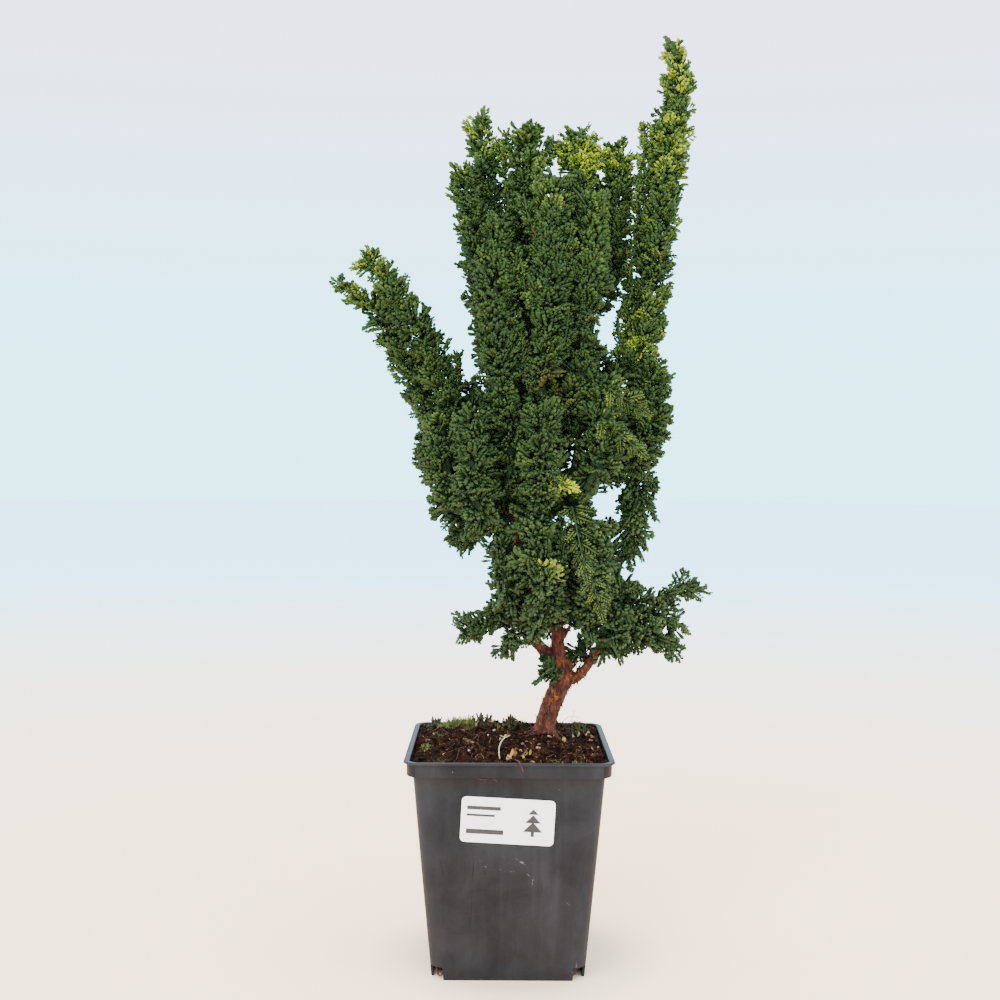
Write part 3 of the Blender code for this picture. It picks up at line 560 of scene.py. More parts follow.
@dataclass(frozen=True)
class BarkFinish:
    """Peeling red-brown bark with fresh orange patches."""

    stops: Stops = (
        (0.0, (0.014, 0.005, 0.003)), (0.30, (0.042, 0.010, 0.005)), (0.55, (0.088, 0.021, 0.010)),
        (0.78, (0.135, 0.038, 0.019)), (1.0, (0.22, 0.090, 0.048)),
    )
    orange: Colour = (0.36, 0.105, 0.010)

    def material(self) -> Material:
        """Return the bark material, which reads fresh from the mesh.

        Returns:
            The material.
        """
        sheet = Sheet("peeling_bark")
        strands = sheet.noise(560.0, 6.0, 0.66, sheet.stretched((1.0, 1.0, 0.42)), 0.7)
        plates = sheet.cells(210.0, sheet.stretched((1.0, 1.0, 0.5)), "DISTANCE_TO_EDGE")
        grain = sheet.noise(1500.0, 4.0, 0.6)
        cracks = sheet.span(plates, 0.0, 0.16)
        value = sheet.span(strands, 0.26, 0.72)
        value = sheet.math("MULTIPLY", value, sheet.span(cracks, 0.0, 1.0, 0.8, 1.0))
        value = sheet.math("ADD", value, sheet.span(grain, 0.3, 0.7, -0.12, 0.12), clamp=True)
        colour = sheet.ramp(value, self.stops)
        fresh = sheet.math("MULTIPLY", sheet.attribute("fresh"), sheet.span(strands, 0.47, 0.56), clamp=True)
        fresh = sheet.math("MULTIPLY", fresh, sheet.span(grain, 0.40, 0.54))
        colour = sheet.mix(fresh, colour, self.orange)
        normal = sheet.bump(sheet.math("ADD", strands, sheet.math("MULTIPLY", cracks, 0.4)), 0.0012, 0.8)
        return sheet.finish(colour, 0.84, normal, Specular_IOR_Level=0.25)


@dataclass(frozen=True)
class PeatFinish:
    """Dark fibrous peat with paler crumbs."""

    name: str = "peat_bed"
    stops: Stops = (
        (0.0, (0.003, 0.0015, 0.001)), (0.36, (0.017, 0.007, 0.004)), (0.60, (0.066, 0.027, 0.013)),
        (0.80, (0.17, 0.082, 0.043)), (1.0, (0.45, 0.32, 0.20)),
    )
    roughness: float = 0.92

    def material(self) -> Material:
        """Return the peat material, which reads shade from the mesh.

        Returns:
            The material.
        """
        sheet = Sheet(self.name)
        fine = sheet.noise(900.0, 6.0, 0.65)
        clumps = sheet.noise(190.0, 4.0, 0.6, warp=0.6)
        value = sheet.span(fine, 0.3, 0.72, 0.0, 0.6)
        value = sheet.math("ADD", value, sheet.span(clumps, 0.32, 0.7, -0.18, 0.22))
        value = sheet.math("ADD", value, sheet.attribute("shade"), clamp=True)
        normal = sheet.bump(sheet.math("ADD", fine, clumps), 0.0014, 0.9)
        return sheet.finish(sheet.ramp(value, self.stops), self.roughness, normal, Specular_IOR_Level=0.06)


@dataclass(frozen=True)
class PlainFinish:
    """A small part's colour with a light mottle."""

    name: str
    dark: Colour
    light: Colour
    roughness: float = 0.7
    cells: float = 300.0

    def material(self) -> Material:
        """Return the material.

        Returns:
            The material.
        """
        sheet = Sheet(self.name)
        mottle = sheet.noise(self.cells, 4.0)
        colour = sheet.mix(sheet.span(mottle, 0.3, 0.7), self.dark, self.light)
        return sheet.finish(colour, self.roughness, sheet.bump(mottle, 0.0003, 0.4))


@dataclass(frozen=True)
class PlasticFinish:
    """Dusty dark grey plastic with faint upright streaks, painted highlights on the lip's edge and corners,
    painted shade inside the rim, and a few rubbed marks on its front.
    """

    body: Colour = (0.0080, 0.0080, 0.0098)
    dust: Colour = (0.044, 0.043, 0.047)
    rubbed: Colour = (0.17, 0.165, 0.16)
    earth: Colour = (0.014, 0.010, 0.008)
    # Marks on the front wall: x, z, half width, half height, turn in degrees and strength
    scuffs: Rows = rows("""
        7 66.5 2.6 0.7 35 0.7, 4.5 68.5 1.2 0.5 10 0.6, 13 56 0.5 2.2 8 0.6, 10.5 59.5 1.6 0.6 30 0.4,
        -12.7 64 0.9 0.5 20 0.8, -15.5 67 0.7 0.4 0 0.5, 1.5 61.5 1.8 0.5 5 0.35, -6 62.5 2.5 0.4 0 0.3,
        31.5 44 2.2 0.5 40 0.35, 27 106.3 0.5 0.4 0 0.9, -30 116.5 0.4 0.5 0 0.9, 37 9 0.4 2.2 0 0.5""")
    # Faint dark scratches, in the same terms
    scratches: Rows = rows("""
        -35.5 62 0.35 8 -12 0.8, -19 62 0.3 7 6 0.7, -20 40 0.25 15 3 0.5, -35 38 0.25 13 -2 0.4,
        -28 26.5 6 0.3 5 0.5, -12.5 60 0.4 0.9 0 0.9, 18 52 0.3 2.4 -4 0.6, 2 43 0.3 1.5 0 0.5""")

    def marks(self, sheet: Sheet, table: Rows, grain: Socket) -> Socket:
        """Return a mask of marks on the front wall, broken up by a grain.

        Args:
            sheet: The material's nodes.
            table: The marks.
            grain: What breaks them up.

        Returns:
            The mask.
        """
        total = sheet.math("MULTIPLY", grain, 0.0)
        for x, z, wide, tall, turn, strength in table:
            near = sheet.spot((x, -body_half(z), z), (wide, 12.0, tall), turn)
            total = sheet.math("MAXIMUM", total, sheet.math("MULTIPLY", near, strength))
        return sheet.math("MULTIPLY", total, grain)

    def material(self) -> Material:
        """Return the pot's material.

        Returns:
            The material.
        """
        sheet = Sheet("nursery_plastic")
        cloud = sheet.noise(26.0, 6.0, 0.62, warp=0.5)
        streak = sheet.noise(120.0, 4.0, 0.55, sheet.stretched((1.0, 1.0, 0.07)))
        speck = sheet.noise(1400.0, 2.0)
        dust_and_painted_light = sheet.span(cloud, 0.40, 0.80, 0.0, 0.42)
        dust_and_painted_light = sheet.math("ADD", dust_and_painted_light, sheet.span(streak, 0.50, 0.85, 0.0, 0.30))
        dust_and_painted_light = sheet.math("ADD", dust_and_painted_light, sheet.span(speck, 0.68, 0.78, 0.0, 0.35))
        # This attribute paints highlights on the lip's edge and corners, shade inside the rim, and a lighter
        # foot, all through the dust colour.
        dust_and_painted_light = sheet.math("ADD", dust_and_painted_light, sheet.attribute("painted_lightness"), clamp=True)
        colour = sheet.mix(dust_and_painted_light, self.body, self.dust)
        low = sheet.span(sheet.height(), 0.075, 0.0, 0.0, 0.35)
        earthy = sheet.math("MULTIPLY", low, sheet.span(sheet.noise(60.0, 5.0, 0.6), 0.42, 0.66))
        colour = sheet.mix(earthy, colour, self.earth)
        scratched = self.marks(sheet, self.scratches, sheet.span(streak, 0.2, 0.5))
        colour = sheet.mix(scratched, colour, (0.003, 0.003, 0.003))
        flecks = sheet.span(sheet.noise(1100.0, 3.0, 0.6), 0.46, 0.58)
        colour = sheet.mix(self.marks(sheet, self.scuffs, flecks), colour, self.rubbed)
        roughness = sheet.span(dust_and_painted_light, 0.0, 0.6, 0.50, 0.72)
        normal = sheet.bump(sheet.noise(2200.0, 2.0), 0.00006, 0.5)
        normal = sheet.bump(cloud, 0.0009, 0.35, normal)
        return sheet.finish(colour, roughness, normal, Specular_IOR_Level=0.12)


@dataclass(frozen=True)
class PaperFinish:
    """Coated label paper, faintly pink, with a hint of curl in its surface."""

    def material(self) -> Material:
        """Return the label's material.

        Returns:
            The material.
        """
        sheet = Sheet("label_coat")
        cloud = sheet.noise(60.0, 3.0)
        colour = sheet.mix(sheet.span(cloud, 0.35, 0.65), (0.95, 0.86, 0.85), (0.98, 0.91, 0.90))
        return sheet.finish(colour, 0.42, sheet.bump(cloud, 0.0006, 0.4), Specular_IOR_Level=0.5)


@dataclass(frozen=True)
class Finger:
    """One blunt shoot of a spray, in millimetres: where it starts, how it heads, its size, and the tone at
    its root, painted shade, which lightens to a painted highlight at its tip.
    """

    start: float
    heading: float
    length: float
    width: float
    shade: float
    rings: int = 3


@dataclass
class SprayShape:
    """A flat spray of scale-leaved shoots along +X, which the stems carry many times."""

    name: str
    fingers: list[Finger]
    camber: float
    thickness: float = 0.85
    curl: float = 0.12
    mesh: Mesh = field(init=False)
    tones: np.ndarray = field(init=False)
    reach: float = field(init=False)

    def __post_init__(self) -> None:
        """Build the template mesh and the tone of each of its points, from painted shade at a shoot's root to
        a painted highlight at its tip.
        """
        bm = bmesh.new()
        tones: list[float] = []
        for finger in self.fingers:
            self.add_finger(bm, finger, tones)
        self.reach = max(vert.co.x for vert in bm.verts)
        for vert in bm.verts:
            vert.co.z -= self.camber * self.reach * (vert.co.xy.length / self.reach) ** 2
        self.mesh = bpy.data.meshes.new(self.name)
        bm.to_mesh(self.mesh)
        bm.free()
        self.tones = np.array(tones, np.float32)

    def add_finger(self, bm: Shape, finger: Finger, tones: list[float]) -> None:
        """Shape a small three-sided sphere into a blunt, keeled shoot.

        Args:
            bm: The spray so far.
            finger: The shoot to add.
            tones: Takes the tone of each new point, from painted shade at the root to a painted highlight at
                the tip.
        """
        made = bmesh.ops.create_uvsphere(bm, u_segments=3, v_segments=finger.rings, radius=1.0)["verts"]
        place = Matrix.Translation((finger.start, 0.0, 0.0)) @ Matrix.Rotation(finger.heading, 4, "Z")
        steps = {2: ((1.0, 0.0), (0.80, 1.0), (0.0, 0.0)),
                 3: ((1.0, 0.0), (0.83, 1.0), (0.34, 0.80), (0.0, 0.0))}[finger.rings]
        for vert in made:
            ring = round(acos(max(-1.0, min(1.0, vert.co.z))) / (pi / finger.rings))
            turn = atan2(vert.co.y, vert.co.x) + pi / 2
            along, swell = steps[ring]
            across = cos(turn) * swell * finger.width / 2
            height = sin(turn) * swell * self.thickness * finger.width / 2
            bend = self.curl * finger.length * along * along
            vert.co = place @ Vector((along * finger.length, across, height + bend))
            # Painted shade at the shoot's root, lightening to a painted highlight at its tip.
            tones.append(finger.shade + (1.0 - finger.shade) * along)


def hand_fingers(draw: Random, size: float, pairs: int, width: float) -> list[Finger]:
    """Return the shoots of a short spray: an axis with side shoots that open like a hand.

    Args:
        draw: Seeded random numbers.
        size: The axis's length.
        pairs: Pairs of side shoots.
        width: The shoots' width.

    Returns:
        The shoots.
    """
    fingers = [Finger(0.0, draw.uniform(-0.1, 0.1), size, width * 1.05, 0.1)]
    for pair in range(pairs):
        share = (pair + 0.45) / (pairs + 0.4)
        for side in (-1, 1):
            heading = side * radians(draw.uniform(40, 62) - 14 * share)
            length = size * (0.66 - 0.46 * share) * draw.uniform(0.8, 1.2)
            start = size * share * 0.92 + draw.uniform(-0.4, 0.4)
            fingers.append(Finger(start, heading, length, width * draw.uniform(0.85, 1.1), 0.15, 2))
    return fingers


def feather_fingers(draw: Random, length: float, pairs: int, width: float) -> list[Finger]:
    """Return the shoots of a long spray: an axis with many short side shoots, longest near its root.

    Args:
        draw: Seeded random numbers.
        length: The axis's length.
        pairs: Pairs of side shoots.
        width: The shoots' width.

    Returns:
        The shoots.
    """
    fingers = [Finger(0.0, 0.0, length, width, 0.15)]
    for pair in range(pairs):
        share = (pair + 0.3) / pairs
        for side in (-1, 1):
            heading = side * radians(draw.uniform(42, 58))
            size = (0.40 - 0.20 * share) * length * draw.uniform(0.85, 1.15)
            start = length * share * 0.88 + draw.uniform(-0.3, 0.3)
            fingers.append(Finger(start, heading, size, width * (1.15 - 0.2 * share), 0.25, 2))
    return fingers


@dataclass(frozen=True)
class Shoot:
    """A short branchlet that leaves a stem and fills the air beside it."""

    path: Rows
    reach: float
    glow: float = 0.0


@dataclass(frozen=True)
class Rib:
    """A long flat frond, with finely cut side sprays on both sides of its rib, from root to tip."""

    path: Rows
    pairs: float
    spread: float


@dataclass
class Stem:
    """One leafy stem, with its side shoots and fronds."""

    name: str
    path: Rows
    habit: Habit
    bare: float
    reach: float
    tip: float = 0.6
    wood: float = 1.4
    glow: float = 0.0
    shoots: list[Shoot] = field(default_factory=list)
    ribs: list[Rib] = field(default_factory=list)

    @staticmethod
    def read(text: str) -> list["Stem"]:
        """Read the stems of a growth table.

        Args:
            text: The table.

        Returns:
            The stems, in order.
        """
        stems: list[Stem] = []
        for line in text.splitlines():
            head, bar, path = line.partition("|")
            if not bar:
                continue
            kind, *words = head.split()
            if kind == "+":
                stems[-1].shoots.append(Shoot(rows(path), *map(float, words)))
            elif kind == "=":
                stems[-1].ribs.append(Rib(rows(path), *map(float, words)))
            else:
                stems.append(Stem(kind, rows(path), Habit[words[0]], *map(float, words[1:])))
        return stems


# The leafy stems, on the same paths as their nodes. A stem's line holds its name, habit, bare length and
# reach, then its tip share, wood radius and glow where they aren't the usual ones, and after the bar the
# points of its path. A line with + is a short side shoot of the stem above, with reach and glow, and one
# with = is a long frond, with pairs and spread. Glow lightens a stem or shoot: painted light where it
# stands in the open, and young growth near the crown's top.
GROWTH = """
# The left arm
arm_upper PLUME 10 12 0.26 1.9 0.06 | -25 -2 284, -32 -3 305, -41 -4 331, -52 -5 352.5, -63 -5 370.5, \
    -74.5 -5 386.5, -82.5 -5 395
 + 5.5 0.02 | -30 -3 298, -31 -4 316, -31 -4 334
 + 5.5 0.04 | -34 -3 306, -39 -8 322, -43 -9 340
 + 5 0.04 | -36 -3 318, -31 -2 332, -30 -2 342
arm_lower PLUME 14 11.5 0.2 1.8 0.06 | -16 -1 270, -31 3 286, -45 4 311, -57 4 335, -68 3 355, -82 1 371, \
    -97 0 381
# The right tall leader
leader_right PLUME 6 13.2 0.08 1.9 0.1 | 67 -2 324, 73 -1 346, 78 0 376, 82 0 408, 86 0 440, 90.5 0 470, \
    93.5 0 494, 90 0 517
 + 6.5 0.14 | 87 0 446, 79 0 455, 75 0 464, 74 0 471
 + 6.5 0.12 | 88 0 448, 82 0 459, 79 0 471
 + 5 0.18 | 91 0 476, 86 0 487, 84.5 0 497
 + 6.5 0.06 | 82 0 402, 76 0 418, 73 0 434, 75 0 448
 + 5.8 | 80 0 388, 71 -1 400, 68 -1 414
 + 5.5 | 77 0 362, 68 -2 374, 64 -2 392
 + 6.5 0.02 | 82 0 398, 74 0 410, 70 0 424
 + 6 0.06 | 74 -1 344, 67 -3 354, 64 -3 372
 + 6 0.1 | 71 -2 334, 65 -5 340, 62 -6 348
 + 6.5 0.02 | 70 -2 330, 63 -3 328, 56 -4 331
 + 6.5 0.06 | 72 -2 336, 63 -5 342, 60 -6 354, 60 -5 366
 + 7 0.06 | 84 0 424, 77 -3 436, 74 -3 449, 74 -3 460
 + 7 0.04 | 81 0 404, 74 -4 414, 71 -4 428, 72 -4 441
 + 6 0.06 | 74 -1 346, 82 -2 352, 86 -2 360
 + 5.5 0.04 | 77 0 366, 85 0 374, 88 0 382
 + 6.5 0.04 | 80 0 384, 72 -2 391, 68 -3 402
 + 6.5 0.04 | 78 0 368, 69 -3 375, 65 -4 388
 + 6 0.04 | 75 -1 352, 67 -4 360, 63 -5 374
 + 7 0.04 | 71 -2 334, 63 -6 337, 57 -7 343
# The crown
leader_left PLUME 8 12 0.2 1.8 | -7 6 308, -9 8 340, -10.5 8 380, -14 8 415, -16 7 450, -18 6 476
 + 6 0.14 | -16 8 418, -10 6 440, -8 5 454, -9 5 462
 + 6 0.02 | -14 8 385, -5 5 402, -3 4 424
leader_shoulder PLUME 16 12 0.42 1.6 | -1 5 292, -7 -3 308, -10.5 -9 341, -16 -11 385, -23 -10 418, \
    -28.5 -9 441
 + 5 0.1 | -26 -10 424, -32 -10 430, -34 -9 437
crown_heart BUSH 10 13 | 13 3 294, 6 -8 297, 3 -14 308, 3 -15 330, 5 -14 352
 + 6.5 0.02 | 4 -13 344, 0 -8 372, -2 -4 402, -2 -3 438
leader_middle PLUME 16 14.5 0.7 1.8 | 13 3 294, 9 2 312, 7 0 346, 7 0 390, 8 0 435, 8 0 467
 + 6 0.05 | 7 0 405, -1 1 426, -4 2 446, -3 2 462
 + 7 0.08 | 8 0 440, 0 -1 454, -5 -1 467
 + 7.5 0.08 | 8 0 440, 16 0 452, 22 0 460
 + 7 0.06 | 10 0 434, 17 0 445, 23 1 456
leader_yellow PLUME 6 13.5 0.5 1.8 0.04 | 28 4 356, 31 4 372, 34 4 402, 37 3 440, 37 2 466.5
 + 7 0.16 | 37 3 450, 30 2 458, 24 1 461, 19 1 461
 + 6 0.16 | 36 4 425, 44 3 440, 47 3 455
 + 6 0.2 | 36 4 436, 43 0 446, 50 -2 450, 54 -2 447
 + 6.5 0.12 | 37 3 440, 30 3 452, 25 3 458
 + 6 0.16 | 39 2 450, 45 1 459, 48 1 465
leader_inner PLUME 20 13.5 0.55 1.9 | 36 -1 276, 39 8 296, 41 12 331, 46 12 364, 56 10 405, 60 8 440, \
    57 7 460
 + 6 0.06 | 56 10 405, 51 8 424, 49 6 444
 + 5.5 0.02 | 57 10 405, 62 8 418, 66 6 434
 + 5.5 | 54 11 385, 61 9 393, 66 6 406
 + 6.5 | 46 12 331, 54 8 329, 62 4 333
 + 6 0.08 | 58 9 432, 53 6 445, 50 4 456
 + 7.5 | 40 10 320, 50 6 325, 58 2 335
plume_front PLUME 8 14.5 0.6 1.8 | 14 -18 292, 17 -26 318, 19 -29 358, 21 -27 400, 23 -23 436
 + 6 0.08 | 20 -27 405, 14 -20 428, 15 -14 446
 + 6.5 | 17 -26 316, 8 -31 330, 5 -32 352
 + 6.5 0.04 | 19 -29 352, 9 -32 366, 5 -32 388
 + 6.5 0.06 | 21 -27 394, 11 -28 408, 6 -25 426
 + 6.5 | 18 -28 330, 28 -33 344, 31 -34 366
 + 6 | 15 -19 296, 22 -24 306, 27 -26 320
plume_front_left PLUME 14 14.5 0.6 1.6 | 10 -8 276, 0 -19 294, -7 -27 324, -9 -28 370, -7 -24 412
 + 6.5 0.04 | -9 -28 366, 0 -31 378, 3 -31 396
 + 6.5 | -8 -27 332, 0 -32 344, 2 -33 362
 + 6 0.02 | -8 -27 350, -15 -24 364, -17 -21 386
plume_front_right PLUME 12 14.5 0.6 1.6 | 14 -18 292, 29 -21 302, 38 -25 330, 42 -25 378, 43 -21 424
 + 6 0.06 | 42 -23 395, 33 -18 418, 30 -12 436
 + 6.5 0.04 | 42 -25 372, 33 -32 386, 31 -31 408
plume_back PLUME 9 15 0.6 1.8 | 18 24 270, 17 29 301, 13 32 346, 11 31 400, 10 26 444
 + 6.5 | 13 32 326, 3 35 342, 0 34 366
 + 6.5 0.04 | 11 31 376, 2 33 392, -1 30 412
 + 6.5 | 13 32 336, 23 36 352, 25 35 376
plume_back_right PLUME 13 15 0.6 1.6 | 18 24 270, 30 28 290, 33 32 330, 37 31 372, 40 26 430
 + 6.5 0.04 | 38 31 380, 28 33 396, 25 31 418
plume_back_left PLUME 15 15 0.6 1.6 | 12 14 256, -1 22 280, -6 28 314, -9 28 365, -12 23 412
# The middle
mid_front BUSH 13 16.5 | 8 3 272, 11 -12 262, 14 -24 258, 16 -32 268, 17 -36 286, 16 -37 310
 + 4.6 0.5 | 17 -34 276, 26 -42 270, 34 -44 264
mid_heart BUSH 11 14 | 4.5 3 254, 3 -9 260, 0 -18 270, -1 -23 288, -1 -24 312
mid_front_left BUSH 13 16.5 | 4.5 3 252, -5 -10 247, -13 -21 248, -18 -28 260, -20 -30 280, \
    -19 -31 304
mid_front_right BUSH 14 16.5 | 20 1 268, 33 -12 262, 42 -22 264, 47 -28 278, 49 -31 298, \
    49 -31 324
 = 4 0.9 | 48 -43 304, 70 -38 286
 = 4 0.85 | 52 -44 320, 72 -36 308
mid_right BUSH 9 14 | 50 -2 288, 60 6 280, 68 11 284, 72 12 298, 75 11 318
 + 6.5 0.02 | 70 12 286, 68 6 304, 69 4 322
mid_right_front BUSH 12 13.5 | 50 -2 288, 62 -10 278, 70 -14 284, 75 -14 298, 78 -12 316, \
    77 -10 332
 + 6.5 0.04 | 68 -12 282, 68 -9 303, 70 -7 323
 + 6 0.08 | 75 -11 326, 78 -8 337, 80 -6 346
 + 7 | 68 -14 286, 61 -12 306, 58 -9 325, 57 -8 337
mid_back_right BUSH 14 16.5 | 36 -1 276, 44 14 268, 50 24 270, 54 29 284, 53 31 304, 46 30 322
 + 7.5 | 52 31 304, 57 22 318, 58 16 336
 = 4 0.9 | 56 44 304, 62 46 282
mid_back BUSH 11 16.5 | 12 14 256, 17 26 252, 19 36 258, 20 41 274, 19 41 302
 + 7 | 19 41 276, 6 43 292, 2 41 314
 + 7 | 20 41 280, 33 42 296, 37 40 318
mid_back_left BUSH 16 16.5 | 4.5 3 254, -4 16 250, -10 27 252, -14 34 266, -15 35 294
mid_left_front BUSH 12 13.5 | -6 1 258, -17 -8 250, -26 -13 252, -33 -15 264, -37 -15 282, \
    -39 -14 302
mid_left BUSH 11 11.5 | -16 -1 270, -28 4 262, -36 6 264, -41 6 278, -45 6 296, -46 6 310
mid_left_back BUSH 13 14.5 | -6 1 258, -16 13 252, -25 20 256, -30 23 270, -31 24 290
mid_left_upper BUSH 9 10 | -1 5 292, -12 8 296, -20 9 306, -22 9 324
hanging_right SPRAY 26 8.5 0.5 | 50 -2 288, 64 -1 279, 72 0 264, 70 0 247, 67 -1 227
 + 4 0.03 | 72 0 262, 78 -2 256, 82 -3 247
 + 4.2 | 71 0 262, 66 -2 259, 60 -3 254
 + 4.2 | 70 0 250, 64 -3 247, 57 -4 243
 + 4 | 68 0 238, 66 -2 228, 69 -3 220
 + 3.6 0.03 | 70 0 242, 76 -2 237, 77 -3 231
 + 4.5 0.03 | 73 0 274, 80 -2 270, 83 -3 263
hanging_left SPRAY 12 9 | 5 3 238, -10 -3 243, -21 -7 242, -31 -8 236
 + 4.2 0.02 | -12 -4 243, -19 -8 238, -27 -10 231
 + 4.2 0.02 | -17 -6 242, -22 -9 234, -23 -10 228
# The lower body
skirt_front BUSH 9 10.5 | 27 9.5 184, 22 -1 193, 17 -12 194, 10 -20 192
 + 4.5 | 22 -5 188, 10 -8 180, 2 -10 176
skirt_right BUSH 9 9 | 50 9 171, 51 -3 181, 45 -11 188, 38 -16 191
skirt_back BUSH 8 10 | 28 10 178, 29 20 191, 26 30 194, 22 38 193
low_front BUSH 13 16.5 | 20 7 206, 21 -7 198, 20 -18 200, 17 -25 214, 14 -28 234, 12 -28 254
 + 6 | 19 -22 206, 27 -26 220, 30 -29 242
low_front_right BUSH 13 16.5 | 26.5 9 190, 36 -2 195, 43 -11 198, 47 -17 210, 46 -20 228, \
    43 -20 250
 = 6 0.95 | 33 -34 257, 41 -38 220
 = 4 0.8 | 43 -33 222, 50 -31 198
low_front_left BUSH 13 13 | 11 5 221, 4 -4 208, 0 -11 206, -3 -16 220, -5 -18 238
low_left BUSH 8 10 | 7 5 190, 1 4 197, -1 3 212, -1 3 228
 + 5 | 1 4 197, 7 0 200, 13 -3 197
low_back BUSH 13 16.5 | 20 7 206, 20 20 198, 18 29 206, 16 34 222, 14 35 244
 + 7 | 17 33 212, 5 40 222, 2 40 246
 + 7 | 17 34 214, 29 39 226, 30 39 248
 + 6.5 | 19 26 204, 27 17 222, 29 15 246
 = 4 0.85 | 14 50 232, 10 49 208
low_back_right BUSH 13 16.5 | 26.5 9 190, 35 20 197, 42 27 202, 44 31 216, 42 31 242
low_back_left BUSH 13 12.5 | 11 5 221, 2 16 208, -4 24 212, -8 27 228, -9 28 246
 + 6.5 | -2 20 210, 0 12 222, 1 11 240
right_upright BUSH 6 12 | 58 7 192, 62 4 202, 60 2 218, 52 1 240
right_front BUSH 9 10 | 50 9 171, 54 -2 177, 58 -10 185, 60 -14 199
right_back BUSH 8 12 | 55 8 181, 60 17 179, 63 24 188, 61 27 206
spray_behind_limb BUSH 7 9 | 45 10 163, 44 17 167, 42 22 177
lowest_left_back BUSH 8 10.5 | 7 5 190, 3 15 187, -1 22 194, -3 24 206
lowest_left SPRAY 6 6.8 0.5 | 7 5 190, -6 2 193, -17 0 188, -27 -1 185
 + 4 | -6 2 193, -14 2 186, -21 2 180
drooping_left SPRAY 8 5.6 0.5 | 14 7 182, 5 1 182, -1 -3 179, -4 -5 172
branch_right_long SPRAY 9 4.6 0.5 | 58 7 192, 70 6 200, 86 4 203.5, 98 2 208.5, 110.5 0 209.5
branch_right_middle SPRAY 9 6.5 0.5 | 55 8 181, 70 4 188, 84 2 192, 95 0 187
 + 4 0.08 | 82 2 191, 92 -3 192, 101 -4 184
branch_right_low SPRAY 12 6.8 0.5 | 50 9 171, 64 0 181, 79 -5 182, 88 -7 179, 92 -8 173
 + 4 0.02 | 74 -4 177, 84 -2 180, 93 -2 176
trunk_spray SPRAY 8.5 5.8 0.7 | 29 11.5 153, 24 2 161, 19 -3 163
"""
STEMS = Stem.read(GROWTH)

# Places of bright young growth and of dry inner growth: x, y, z, radius and strength
FRESH_SPOTS = rows("""
    30 -42 268 11 0.42, 27 -40 221 11 0.46, 76 -14 298 10 0.34, 84 -4 336 10 0.28, 66 -6 352 11 0.32,
    76 -4 344 13 0.36, 114 0 210 10 0.34, 100 0 184 8 0.2, -92 -2 396 24 0.28, -18 6 470 20 0.24,
    -30 -9 446 15 0.18, 8 0 476 14 0.08, 40 0 456 19 0.3, 37 2 470 12 0.28, 57 7 462 14 0.1,
    90 0 512 26 0.2, 88 0 455 24 0.1, -6 -3 462 10 0.12, -10 -8 448 12 0.08, 50 -22 420 14 0.1,
    -45 -16 262 20 0.1, 20 -40 420 20 0.08, 64 -16 240 12 0.12""")
DRY_SPOTS = rows("24 -32 322 13 0.4, -42 -26 268 7 0.3, 28 -28 312 8 0.35, 37 -4 470 5 0.3")


def spot_strength(place: Vector, spots: Rows) -> float:
    """Return how strongly a place lies in any of the round spots.

    Args:
        place: The place.
        spots: Rows of x, y, z, radius and strength.

    Returns:
        The strength.
    """
    strongest = 0.0
    for x, y, z, radius, strength in spots:
        away = (place - Vector((x, y, z))).length
        strongest = max(strongest, strength * (1.0 - blend(radius * 0.4, radius, away)))
    return strongest


# Air that stays clear of foliage, as seen from the front: x, z, radius, and the farthest y that it reaches
CLEAR_AIR = rows("""
    51.8 361 5.8 60, 51.5 350 4.8 60, 52.5 373 3.2 60, 52.5 259 6.8 60, 51 249 4.6 60, 54 266 6 60,
    51 240.5 3.4 60, -39 380 8 60, -29.5 363 6.5 60, -24.5 350 4.5 60, -20 341 4 60, -17 330 3.6 60,
    -14 321 3.2 60, 28.5 441.5 5 60, 24.5 439 3.4 60, 36 274 2.4 60, 41 272.5 2.4 60, 47 271 3 60,
    4.5 237 4.2 0, 34 181 4.6 60, 33.5 173 4 60, 22.9 184 2.6 60, 26.5 187 4.2 4, 33 184 3.2 4,
    46 169 4.5 4, 50.5 175 3.5 4, 38 160 6 4, 22 155 3 4, 66 215 3.5 60, 64 221 2.5 60, -49 264 4.5 60,
    -12 236 4.5 60, -19 222 9 60, -15 207 7 60, 104 298 14 60, 100 318 10 60, -9 176 3.5 60, 22.5 176 4 4,
    41 178 3.5 4, 9 162 6 60""")


def direction_at(line: list[Vector], index: int, reach: int) -> Vector:
    """Return a line's direction at one of its points, taken over so many points to each side."""
    return (line[min(index + reach, len(line) - 1)] - line[max(index - reach, 0)]).normalized()


def beside(axis: Vector) -> Vector:
    """Return a direction square to an axis."""
    return axis.cross(FRONT if abs(axis.dot(FRONT)) < 0.8 else UP).normalized()


def turned(axis: Vector, level: Vector, angle: float) -> Vector:
    """Return a direction square to an axis, at an angle from level."""
    return level * cos(angle) + axis.cross(level) * sin(angle)


@dataclass(frozen=True)
class Station:
    """Where one spray stands: its shape, its place and its colour."""

    shape: SprayShape
    place: Matrix
    glow: float
    dry: float


